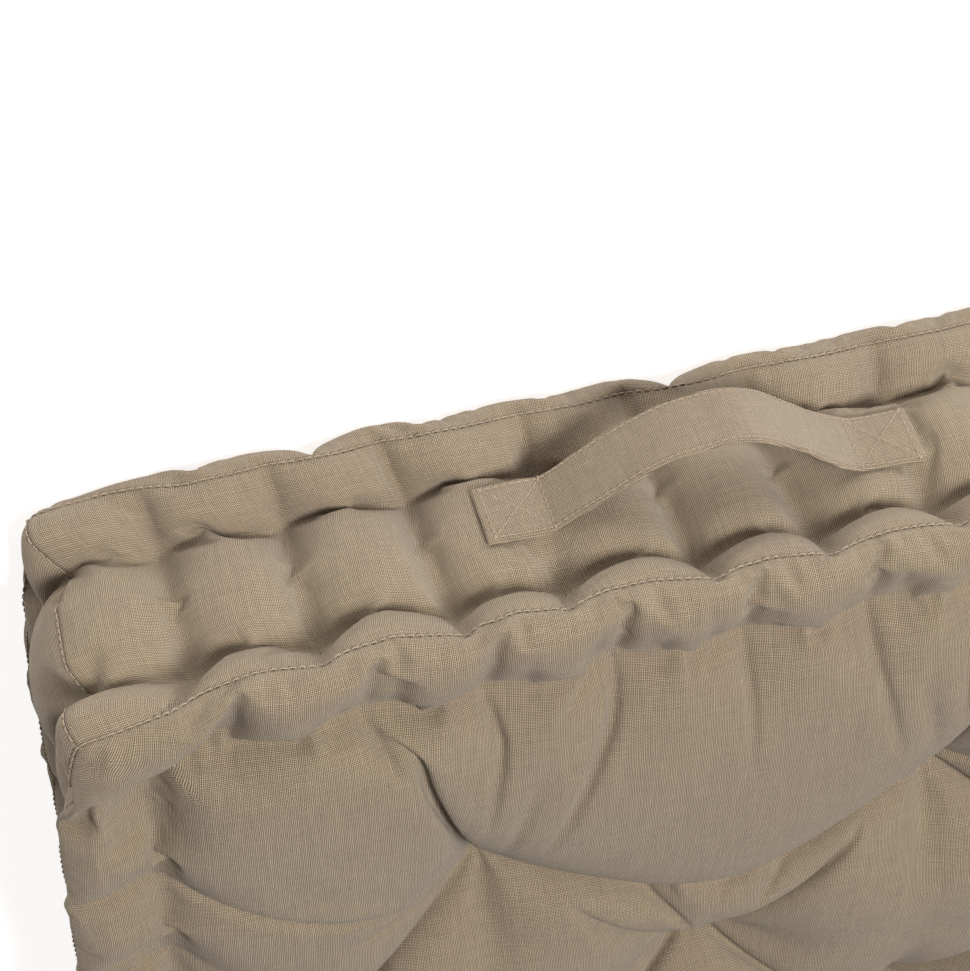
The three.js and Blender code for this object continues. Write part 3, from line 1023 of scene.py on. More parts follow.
class WeaveGroup(SharedTree):
    """Plain weave: threads over and under each other, with slubs and a tone for each thread."""

    @classmethod
    def _build(cls) -> bpy.types.NodeTree:
        """Builds the group."""
        inputs = {
            "Place": ("NodeSocketVector", None),
            "Thread": ("NodeSocketFloat", 0.00073),
            "Unevenness": ("NodeSocketFloat", 0.35),
        }
        outputs = {"Height": "NodeSocketFloat", "Tone": "NodeSocketFloat", "Fleck": "NodeSocketFloat"}
        group, g, given, out = new_group("plain_weave", inputs, outputs)
        split = g.node("ShaderNodeSeparateXYZ", {0: given.outputs["Place"]})
        thread = given.outputs["Thread"]
        u = g.math("DIVIDE", split.outputs[0], thread)
        v = g.math("DIVIDE", split.outputs[1], thread)
        drift_u = g.noise(g.vector(g.math("MULTIPLY", u, 0.33), g.math("MULTIPLY", v, 0.05)), 1.0)
        drift_v = g.noise(g.vector(g.math("MULTIPLY", u, 0.05), g.math("MULTIPLY", v, 0.33)), 1.0)
        uneven = given.outputs["Unevenness"]
        u = g.math("ADD", u, g.math("MULTIPLY", g.math("SUBTRACT", drift_u, 0.5), uneven))
        v = g.math("ADD", v, g.math("MULTIPLY", g.math("SUBTRACT", drift_v, 0.5), uneven))
        wave_u = g.math("SINE", g.math("MULTIPLY", u, math.pi))
        wave_v = g.math("SINE", g.math("MULTIPLY", v, math.pi))
        over = g.math("MULTIPLY", wave_u, wave_v)
        warp = g.math("MULTIPLY", g.math("ABSOLUTE", wave_u), g.math("MULTIPLY_ADD", over, 0.4, 0.6))
        weft = g.math("MULTIPLY", g.math("ABSOLUTE", wave_v), g.math("MULTIPLY_ADD", over, -0.4, 0.6))
        cover_u = g.math("MULTIPLY_ADD", g.math("ABSOLUTE", wave_u), 0.75, 0.25)
        cover_v = g.math("MULTIPLY_ADD", g.math("ABSOLUTE", wave_v), 0.45, 0.55)
        closed = g.math("MULTIPLY", cover_u, cover_v)
        height = g.math("MULTIPLY", g.math("MAXIMUM", warp, weft), g.math("POWER", closed, 0.5))
        warp_place = g.vector(g.math("FLOOR", u), g.math("MULTIPLY", v, 0.045), 3.0)
        weft_place = g.vector(g.math("MULTIPLY", u, 0.045), g.math("FLOOR", v), 9.0)
        warp_tone, weft_tone = g.noise(warp_place, 0.77, 1.0), g.noise(weft_place, 0.77, 1.0)
        warp_up = g.remap(over, -0.15, 0.15, 0.0, 1.0)
        tone = g.math("ADD", g.math("MULTIPLY", warp_tone, warp_up),
                      g.math("MULTIPLY", weft_tone, g.math("SUBTRACT", 1.0, warp_up)))
        slub = g.noise(g.vector(g.math("MULTIPLY", u, 0.16), g.math("MULTIPLY", v, 0.6), 5.0), 1.0, 1.0)
        fleck = g.remap(slub, 0.68, 0.8, 0.0, 1.0)
        g.tree.links.new(height, out.inputs["Height"])
        g.tree.links.new(tone, out.inputs["Tone"])
        g.tree.links.new(fleck, out.inputs["Fleck"])
        return group


class HeatherGroup(SharedTree):
    """Cloth colour: two yarn colours, flecks, painted shade in the gaps between threads and slow drifts of
    tone.
    """

    @classmethod
    def _build(cls) -> bpy.types.NodeTree:
        """Builds the group."""
        colour = "NodeSocketColor"
        inputs = {
            "Tone": ("NodeSocketFloat", 0.5),
            "Fleck": ("NodeSocketFloat", 0.0),
            "Height": ("NodeSocketFloat", 1.0),
            "Place": ("NodeSocketVector", None),
            "Cool Yarn": (colour, (0.4, 0.3, 0.25, 1)),
            "Warm Yarn": (colour, (0.45, 0.37, 0.24, 1)),
            "Gap": (colour, (0.15, 0.11, 0.07, 1)),
            "Shade Depth": ("NodeSocketFloat", 0.5),
        }
        group, g, given, out = new_group("heathered_yarn", inputs, {"Color": colour})
        mix = g.remap(given.outputs["Tone"], 0.32, 0.68, 0.0, 1.0)
        drift = g.noise(given.outputs["Place"], 17.0, 3.0)
        mix = g.math("ADD", g.math("MULTIPLY", mix, 0.6), g.remap(drift, 0.35, 0.65, 0.0, 0.4))
        yarn = g.blend(mix, given.outputs["Cool Yarn"], given.outputs["Warm Yarn"])
        light = g.node("ShaderNodeHueSaturation", {"Color": yarn, "Value": 1.28, "Saturation": 0.85})
        yarn = g.blend(g.math("MULTIPLY", given.outputs["Fleck"], 0.4), yarn, light.outputs[0])
        value = g.remap(given.outputs["Tone"], 0.25, 0.75, 0.86, 1.12)
        shaded = g.node("ShaderNodeHueSaturation", {"Color": yarn, "Value": value}).outputs[0]
        # Painted shade: where the weave is low, between the threads, the colour is mixed towards the dark
        # gap colour.
        gap = g.math("MULTIPLY", g.remap(given.outputs["Height"], 0.2, 0.72, 1.0, 0.0),
                     given.outputs["Shade Depth"])
        g.tree.links.new(g.blend(gap, shaded, given.outputs["Gap"]), out.inputs["Color"])
        return group


@dataclass(frozen=True)
class Canvas:
    """Plain-woven cotton and linen canvas."""

    name: str
    cool: tuple = (0.392, 0.296, 0.211, 1)
    warm: tuple = (0.416, 0.331, 0.213, 1)
    # The gap colour and how deep it is laid on are painted shade between the threads.
    gap: tuple = (0.062, 0.043, 0.026, 1)
    gap_shade_depth: float = 1.0
    thread: float = 0.00073
    unevenness: float = 0.9
    bump: float = 0.00045
    roughness: float = 0.92

    def material(self) -> bpy.types.Material:
        """Builds the canvas.

        Returns:
            The material.
        """
        material, g, shader = new_material(self.name, self.roughness)
        coords = g.node("ShaderNodeTexCoord")
        place = coords.outputs["UV"]
        weave = g.node("ShaderNodeGroup", node_tree=WeaveGroup.get())
        heather = g.node("ShaderNodeGroup", node_tree=HeatherGroup.get())
        g.tree.links.new(place, weave.inputs["Place"])
        weave.inputs["Thread"].default_value = self.thread
        weave.inputs["Unevenness"].default_value = self.unevenness
        for name in ("Tone", "Fleck", "Height"):
            g.tree.links.new(weave.outputs[name], heather.inputs[name])
        g.tree.links.new(coords.outputs["Object"], heather.inputs["Place"])
        for name, value in (("Cool Yarn", self.cool), ("Warm Yarn", self.warm), ("Gap", self.gap),
                            ("Shade Depth", self.gap_shade_depth)):
            heather.inputs[name].default_value = value
        inputs = {"Height": weave.outputs["Height"], "Distance": self.bump, "Strength": 0.8}
        bump = g.node("ShaderNodeBump", inputs)
        g.tree.links.new(heather.outputs["Color"], shader.inputs["Base Color"])
        g.tree.links.new(bump.outputs[0], shader.inputs["Normal"])
        shader.inputs["Specular IOR Level"].default_value = 0.25
        shader.inputs["Sheen Weight"].default_value = 0.12
        shader.inputs["Sheen Roughness"].default_value = 0.5
        return material


@dataclass(frozen=True)
class Yarn:
    """A twisted thread, cord or twine."""

    name: str
    light: tuple
    # dark is the painted shade colour in the grooves of the twist.
    dark: tuple
    twist: float = 900.0
    bump: float = 0.0002
    roughness: float = 0.75

    def material(self) -> bpy.types.Material:
        """Builds the yarn, with a slanting twist whose grooves are darkened with painted shade.

        Returns:
            The material.
        """
        material, g, shader = new_material(self.name, self.roughness)
        coords = g.node("ShaderNodeTexCoord")
        split = g.node("ShaderNodeSeparateXYZ", {0: coords.outputs["Object"]})
        slant = g.math("ADD", g.math("ADD", split.outputs[0], split.outputs[1]), split.outputs[2])
        wave = g.math("SINE", g.math("MULTIPLY", slant, self.twist * 2 * math.pi))
        ply = g.remap(wave, -1.0, 1.0, 0.0, 1.0)
        fuzz = g.noise(coords.outputs["Object"], 1500.0, 1.0)
        # Painted shade: the colour runs to dark in the twist's grooves; the fuzz noise adds real uneven
        # tone.
        shade = g.math("MULTIPLY", ply, g.remap(fuzz, 0.3, 0.7, 0.6, 1.0))
        g.tree.links.new(g.blend(shade, self.dark, self.light), shader.inputs["Base Color"])
        bump = g.node("ShaderNodeBump", {"Height": ply, "Distance": self.bump, "Strength": 0.6})
        g.tree.links.new(bump.outputs[0], shader.inputs["Normal"])
        return material


@dataclass(frozen=True)
class Fibre:
    """Teased fibre or wadding."""

    name: str
    light: tuple
    dark: tuple
    roughness: float = 1.0

    def material(self) -> bpy.types.Material:
        """Builds the fibre.

        Returns:
            The material.
        """
        material, g, shader = new_material(self.name, self.roughness)
        coords = g.node("ShaderNodeTexCoord")
        coarse = g.noise(coords.outputs["Object"], 60.0, 6.0)
        hairs = g.noise(coords.outputs["Object"], 700.0, 3.0)
        tuft = g.math("ADD", g.math("MULTIPLY", coarse, 0.6), g.math("MULTIPLY", hairs, 0.4))
        g.tree.links.new(g.blend(tuft, self.dark, self.light), shader.inputs["Base Color"])
        bump = g.node("ShaderNodeBump", {"Height": tuft, "Distance": 0.002, "Strength": 0.7})
        g.tree.links.new(bump.outputs[0], shader.inputs["Normal"])
        return material


def mesh_object(name: str, points: np.ndarray, faces: np.ndarray,
                uv: np.ndarray | None = None) -> bpy.types.Object:
    """Makes a smooth mesh object at the origin.

    Args:
        name: The object's name.
        points: Its points in frame metres.
        faces: Its faces, as rows of point numbers.
        uv: One cloth place for each point, in metres.

    Returns:
        The object.
    """
    mesh = bpy.data.meshes.new(name)
    corners, count = faces.shape[1], len(faces)
    mesh.vertices.add(len(points))
    mesh.vertices.foreach_set("co", np.ascontiguousarray(points, np.float32).ravel())
    mesh.loops.add(corners * count)
    mesh.loops.foreach_set("vertex_index", np.ascontiguousarray(faces, np.int32).ravel())
    mesh.polygons.add(count)
    mesh.polygons.foreach_set("loop_start", np.arange(0, corners * count, corners, dtype=np.int32))
    mesh.polygons.foreach_set("loop_total", np.full(count, corners, np.int32))
    mesh.polygons.foreach_set("use_smooth", np.ones(count, bool))
    if uv is not None:
        layer = mesh.uv_layers.new(name="cloth")
        layer.data.foreach_set("uv", np.ascontiguousarray(uv[faces.ravel()], np.float32).ravel())
    mesh.update(calc_edges=True)
    mesh.validate()
    made = bpy.data.objects.new(name, mesh)
    bpy.context.scene.collection.objects.link(made)
    return made


def path_object(name: str, lines: list[tuple[np.ndarray, np.ndarray, bool]]) -> bpy.types.Object:
    """Makes a mesh of lines for stitches to follow.

    Args:
        name: The object's name.
        lines: For each line, its points in frame metres, the outward direction at each point,
            and whether it is closed.

    Returns:
        The object, with the directions in an attribute named up.
    """
    points, ups, edges = [], [], []
    for line, up, closed in lines:
        first, count = len(points), len(line)
        points += line.tolist()
        ups += up.tolist()
        edges += [(first + i, first + i + 1) for i in range(count - 1)]
        if closed:
            edges.append((first + count - 1, first))
    mesh = bpy.data.meshes.new(name)
    mesh.from_pydata(points, edges, [])
    attribute = mesh.attributes.new("up", "FLOAT_VECTOR", "POINT")
    attribute.data.foreach_set("vector", np.array(ups, np.float32).ravel())
    made = bpy.data.objects.new(name, mesh)
    bpy.context.scene.collection.objects.link(made)
    return made


class StitchRow(SharedTree):
    """Geometry Nodes that lay stitches of thread along a line."""

    @classmethod
    def _build(cls) -> bpy.types.NodeTree:
        """Builds the tree: line, even points, one arched stitch on each, one plain mesh."""
        tree = bpy.data.node_groups.new("stitch_row", "GeometryNodeTree")
        face = tree.interface
        face.new_socket("Geometry", in_out="INPUT", socket_type="NodeSocketGeometry")
        sizes = {"Pitch": 0.0042, "Length": 0.003, "Radius": 0.0004, "Rise": 0.0004}
        for name, value in sizes.items():
            socket = face.new_socket(name, in_out="INPUT", socket_type="NodeSocketFloat")
            socket.default_value = value
        face.new_socket("Seed", in_out="INPUT", socket_type="NodeSocketInt")
        face.new_socket("Material", in_out="INPUT", socket_type="NodeSocketMaterial")
        face.new_socket("Geometry", in_out="OUTPUT", socket_type="NodeSocketGeometry")
        g = Graph(tree)
        given, out = g.node("NodeGroupInput"), g.node("NodeGroupOutput")
        curve = g.node("GeometryNodeMeshToCurve", {0: given.outputs["Geometry"]})
        even = g.node("GeometryNodeResampleCurve", mode="LENGTH",
                      inputs={"Curve": curve.outputs[0], "Length": given.outputs["Pitch"]})
        half = g.math("MULTIPLY", given.outputs["Length"], 0.5)
        back = g.math("MULTIPLY", half, -1.0)
        dip = g.math("MULTIPLY", given.outputs["Radius"], -0.8)
        arch = g.node("GeometryNodeCurveQuadraticBezier", {
            "Resolution": 4, "Start": g.vector(back, 0.0, dip),
            "Middle": g.vector(0.0, 0.0, g.math("MULTIPLY", given.outputs["Rise"], 2.0)),
            "End": g.vector(half, 0.0, dip)})
        ring = g.node("GeometryNodeCurvePrimitiveCircle",
                      {"Resolution": 6, "Radius": given.outputs["Radius"]})
        stitch = g.node("GeometryNodeCurveToMesh",
                        {"Curve": arch.outputs[0], "Profile Curve": ring.outputs[0], "Fill Caps": True})
        tangent = g.node("GeometryNodeInputTangent")
        up = g.node("GeometryNodeInputNamedAttribute", {"Name": "up"}, data_type="FLOAT_VECTOR")
        along = g.node("FunctionNodeAlignRotationToVector", {"Vector": tangent.outputs[0]}, axis="X")
        turned = g.node("FunctionNodeAlignRotationToVector", axis="Z", pivot_axis="X",
                        inputs={"Rotation": along.outputs[0], "Vector": up.outputs[0]})
        vary = g.node("FunctionNodeRandomValue", data_type="FLOAT_VECTOR",
                      inputs={0: (0.9, 0.85, 0.8), 1: (1.08, 1.15, 1.2), "Seed": given.outputs["Seed"]})
        laid = g.node("GeometryNodeInstanceOnPoints", {
            "Points": even.outputs[0], "Instance": stitch.outputs[0],
            "Rotation": turned.outputs[0], "Scale": vary.outputs[0]})
        real = g.node("GeometryNodeRealizeInstances", {0: laid.outputs[0]})
        dressed = g.node("GeometryNodeSetMaterial",
                         {"Geometry": real.outputs[0], "Material": given.outputs["Material"]})
        tree.links.new(dressed.outputs[0], out.inputs[0])
        return tree

    @classmethod
    def lay(cls, path: bpy.types.Object, material: bpy.types.Material, seed: int,
            **sizes: float) -> bpy.types.Object:
        """Lays stitches along a path object, which becomes the stitches.

        Args:
            path: The lines to follow.
            material: The thread.
            seed: What the small differences between stitches come from.
            sizes: The tree's sizes in metres, by name.

        Returns:
            The stitches, as a plain mesh object.
        """
        modifier = path.modifiers.new("stitches", "NODES")
        modifier.node_group = cls.get()
        values = {**sizes, "Seed": seed, "Material": material}
        for item in cls.get().interface.items_tree:
            if item.in_out == "INPUT" and item.name in values:
                modifier[item.identifier] = values[item.name]
        evaluated = path.evaluated_get(bpy.context.evaluated_depsgraph_get())
        mesh = bpy.data.meshes.new_from_object(evaluated)
        path.modifiers.clear()
        mesh.name = path.name
        path.data = mesh
        mesh.polygons.foreach_set("use_smooth", np.ones(len(mesh.polygons), bool))
        return path


@dataclass(frozen=True)
class Finishes:
    """Every material of the cushion."""

    canvas: bpy.types.Material = field(default_factory=lambda: Canvas("taupe_canvas").material())
    # The second colour of each yarn is painted shade for the grooves of its twist.
    thread: bpy.types.Material = field(default_factory=lambda: Yarn(
        "sewing_thread", (0.37, 0.285, 0.205, 1), (0.24, 0.175, 0.12, 1), 1400.0).material())
    cord: bpy.types.Material = field(default_factory=lambda: Yarn(
        "tufting_cord", (0.36, 0.28, 0.18, 1), (0.14, 0.10, 0.06, 1), 500.0).material())
    twine: bpy.types.Material = field(default_factory=lambda: Yarn(
        "jute_twine", (0.47, 0.34, 0.18, 1), (0.22, 0.14, 0.06, 1), 420.0).material())
    wadding: bpy.types.Material = field(default_factory=lambda: Fibre(
        "cotton_wadding", (0.82, 0.78, 0.66, 1), (0.60, 0.54, 0.42, 1)).material())
    fibre: bpy.types.Material = field(default_factory=lambda: Fibre(
        "fibre_filling", (0.78, 0.74, 0.66, 1), (0.50, 0.46, 0.38, 1)).material())


def nearest_node(word: str, count: int, place: np.ndarray) -> str:
    """Finds which of several numbered nodes has its box's middle nearest to a place.

    Args:
        word: The nodes' name without its number.
        count: How many there are.
        place: The place in frame metres.

    Returns:
        The node's name.
    """
    boxes = {f"{word}_{i}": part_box(f"{word}_{i}") for i in range(1, count + 1)}
    return min(boxes, key=lambda name: math.dist(place, [(a + b) / 2 for a, b in zip(*boxes[name])]))


def attach(piece: bpy.types.Object, body: str, slot: str, *nodes: str) -> None:
    """Gives a piece its body and hides the nodes that it stands for.

    Args:
        piece: The piece.
        body: The body that it moves with.
        slot: Not used.
        nodes: The nodes that it replaces.
    """
    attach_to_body(piece, body)
    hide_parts(*nodes)
    LOG.info("%s: %d faces, on %s, for %s", piece.name, len(piece.data.polygons), body, nodes)


class Cover:
    """The canvas cover, filled and tied, then cut along its seams."""

    hem_depths = (1.0, 4.0)
    seam_pinch = 0.5
    pinch_shares = (1.0, 0.75, 0.3)
    corner_cloth = 13.0
    hem_lean = 0.1

    def __init__(self, sizes: CushionSizes, handle: HandlePlan, filling: Filling) -> None:
        """Settles the cloth.

        Args:
            sizes: The cushion's sizes.
            handle: Where the handle is sewn down.
            filling: Pressures and fullness.
        """
        self.sizes = sizes
        levels = (Level(72, 41, 420, 0.02, 0.06, 0.5), Level(144, 81, 190, 0.005, 0.07, 1.1),
                  Level(288, 161, 80, 0.0015, 0.06, 3.0))
        self.stitching = EdgeStitching()
        solver = ClothSolver(sizes, filling, CoverTies(sizes, self.stitching, handle))
        self.grid = CoverGrid(sizes, levels[0])
        self.points = solver.start(self.grid)
        for level in levels:
            grid = CoverGrid(sizes, level)
            if level is not levels[0]:
                self.points = self.grid.refined(self.points, grid)
            self.grid = grid
            self.points = solver.settle(grid, self.points, level)
            LOG.info("cover settled with %d points", grid.count)
        self.seam = self.grid.seam
        self.points = self.points.astype(float)
        self._pinch_seams()

    def thinned(self, columns: int = 72) -> tuple[CoverGrid, np.ndarray]:
        """Takes every few points of the settled cover.

        Args:
            columns: How many columns to keep on each side.

        Returns:
            A coarse sheet and its points.
        """
        step = self.grid.n // columns
        rows = (self.grid.rows - 1) // step + 1
        coarse = CoverGrid(self.sizes, Level(columns, rows, 0, 0.0, 0.0))
        points = np.zeros((coarse.count, 3))
        points[coarse.ring] = self.points[self.grid.ring[::step, ::step]]
        for mine, other in ((self.grid.top, coarse.top), (self.grid.bottom, coarse.bottom)):
            points[other] = self.points[mine[::step, ::step]]
        return coarse, points

    def _unit_normals(self) -> np.ndarray:
        """Gives the outward direction at each point."""
        normals = self.grid.normals(self.points)
        return normals / np.linalg.norm(normals, axis=1, keepdims=True)

    def _pinch_seams(self) -> None:
        """Draws the cloth in a little along every seam."""
        grid, normals = self.grid, self._unit_normals()
        rows = (self.seam, grid.rows - 1 - self.seam)
        pull = np.zeros(grid.count)
        for away, share in enumerate(self.pinch_shares):
            for row in rows:
                for near in {row - away, row + away}:
                    pull[grid.ring[near]] = np.maximum(pull[grid.ring[near]], share)
            band = slice(rows[0], rows[1] + 1)
            for side in Side:
                column = side.value * grid.n
                for near in {column - away, column + away}:
                    cells = grid.ring[band, near % grid.around]
                    pull[cells] = np.maximum(pull[cells], share)
        self.points -= normals * (pull * self.seam_pinch)[:, None]
        self.normals = self._unit_normals()

    def _cloth_places(self) -> np.ndarray:
        """Gives each point of the faces' cloth its flat place in millimetres."""
        grid = self.grid
        uv = np.zeros((grid.count, 2))
        x, y = grid.plan(grid.section[:, :1], (np.arange(grid.n) / grid.n)[None, :])
        middle, last = grid.rows // 2, grid.rows - 1
        for face, rows, rim in ((grid.top, slice(0, middle), 0), (grid.bottom, slice(middle, None), last)):
            half = self.sizes.half - grid.section[rim, 0]
            line = np.linspace(-half, half, grid.n + 1)
            uv[face] = np.stack(np.meshgrid(line, line, indexing="ij"), -1)
            arc = np.abs(grid.arc[rows] - grid.arc[rim])[:, None]
            over = np.clip(np.abs(x[rows]) - half, 0, None)
            lean = np.arctan2(over, np.abs(y[rows]) - half + 1e-3)
            flat_x = np.sign(x[rows]) * (np.minimum(np.abs(x[rows]), half) + arc * np.sin(lean))
            flat_y = -(half + arc * np.cos(lean))
            for side in Side:
                index = grid.ring[rows, side.value * grid.n:(side.value + 1) * grid.n]
                uv[index] = np.stack(side.turn(flat_x, flat_y), -1)
        return uv

    def _cut(self, name: str, cells: list[np.ndarray], loop: np.ndarray, inside: np.ndarray,
             places: np.ndarray) -> bpy.types.Object:
        """Cuts one piece out of the sheet and turns its edge in.

        Args:
            name: The piece's name.
            cells: Its squares, as rows of point numbers.
            loop: The points of its edge in order, with the piece on the left seen from outside.
            inside: For each edge point, the point next to it within the piece.
            places: The flat place of each point of the sheet.

        Returns:
            The piece.
        """
        faces = np.concatenate([c.reshape(-1, 4) for c in cells])
        used, local = np.unique(faces, return_inverse=True)
        local = local.reshape(faces.shape)
        points, uv = self.points[used], places[used]
        edge = np.searchsorted(used, loop)
        inward = self.points[inside] - self.points[loop]
        inward /= np.linalg.norm(inward, axis=1, keepdims=True)
        last, all_faces = edge, [local]
        for depth in self.hem_depths:
            row = points[edge] - self.normals[loop] * depth + inward * (self.hem_lean * depth)
            new = len(points) + np.arange(len(loop))
            points = np.concatenate([points, row])
            uv = np.concatenate([uv, uv[edge] + (uv[edge] - places[inside]) * depth])
            all_faces.append(np.stack([np.roll(last, -1), last, new, np.roll(new, -1)], -1))
            last = new
        return mesh_object(name, self.sizes.place(points), np.concatenate(all_faces), uv * MM)

    def _ring_cells(self, low: int, high: int, first: int, count: int) -> np.ndarray:
        """Lists the squares of a stretch of the ring."""
        grid = self.grid
        columns = (first + np.arange(count + 1)) % grid.around
        block = grid.ring[low:high + 1][:, columns]
        return squares(block)

    def build(self, finishes: Finishes) -> None:
        """Cuts, dresses and attaches every piece of the cover and its seams.

        Args:
            finishes: The materials.
        """
        self._build_faces(finishes)
        self._build_boxing(finishes)
        self._build_seams(finishes)

    def _build_faces(self, finishes: Finishes) -> None:
        """Cuts the two tufted faces."""
        grid, seam, places = self.grid, self.seam, self._cloth_places()
        last = grid.rows - 1
        upper, lower = squares(grid.top), squares(grid.bottom, flipped=True)
        turns = (("top", upper, 0, seam, grid.ring[seam], grid.ring[seam - 1]),
                 ("bottom", lower, last - seam, last, grid.ring[last - seam][::-1],
                  grid.ring[last - seam + 1][::-1]))
        for word, face, low, high, loop, inside in turns:
            cells = [face, self._ring_cells(low, high, 0, grid.around)]
            piece = self._cut(f"{word}_face_cover", cells, loop, inside, places)
            piece.data.materials.append(finishes.canvas)
            attach(piece, "cushion", "cover_canvas", f"{word}_panel")

    def _build_boxing(self, finishes: Finishes) -> None:
        """Cuts the four boxing pieces."""
        grid, low, high = self.grid, self.seam, self.grid.rows - 1 - self.seam
        for side in Side:
            first = side.value * grid.n
            columns = (first + np.arange(grid.n + 1)) % grid.around
            ring = grid.ring[:, columns]
            loop = np.concatenate([ring[low, ::-1], ring[low + 1:high, 0], ring[high],
                                   ring[high - 1:low:-1, -1]])
            inside = np.concatenate([ring[low + 1, ::-1], ring[low + 1:high, 1], ring[high - 1],
                                     ring[high - 1:low:-1, -2]])
            places = np.zeros((grid.count, 2))
            length = 2 * self.sizes.half - self.corner_cloth
            along = (np.arange(grid.n + 1) / grid.n - 0.5) * length
            places[ring] = np.stack(np.broadcast_arrays(along[None, :], -grid.arc[:, None]), -1)
            name = side.name.lower()
            cells = [self._ring_cells(low, high, first, grid.n)]
            piece = self._cut(f"{name}_boxing_cover", cells, loop, inside, places)
            piece.data.materials.append(finishes.canvas)
            attach(piece, "cushion", "cover_canvas", f"boxing_{name}")

    def _build_seams(self, finishes: Finishes) -> None:
        """Sews stitches along both roll seams and down the four corners."""
        grid, lift = self.grid, 0.25
        sizes = {"Pitch": 0.0041, "Length": 0.0031, "Radius": 0.00042, "Rise": 0.00045}

        def line(index: np.ndarray, closed: bool) -> tuple[np.ndarray, np.ndarray, bool]:
            """Gives a seam line just over the cloth."""
            normals = self.normals[index]
            return self.sizes.place(self.points[index] + normals * lift), normals, closed

        for word, row in (("top", self.seam), ("bottom", grid.rows - 1 - self.seam)):
            path = path_object(f"{word}_seam_stitches", [line(grid.ring[row], True)])
            StitchRow.lay(path, finishes.thread, SEED, **sizes)
            attach(path, "cushion", "sewing_thread", f"{word}_seam_thread")
        band = slice(self.seam + 2, grid.rows - 2 - self.seam)
        for side in Side:
            index = grid.ring[band, side.value * grid.n]
            path = path_object(f"{side.name.lower()}_corner_stitches", [line(index, False)])
            StitchRow.lay(path, finishes.thread, SEED + side.value, **sizes)
            here = self.sizes.place(self.points[index]).mean(0)
            attach(path, "cushion", "sewing_thread", nearest_node("corner_seam_thread", 4, here))


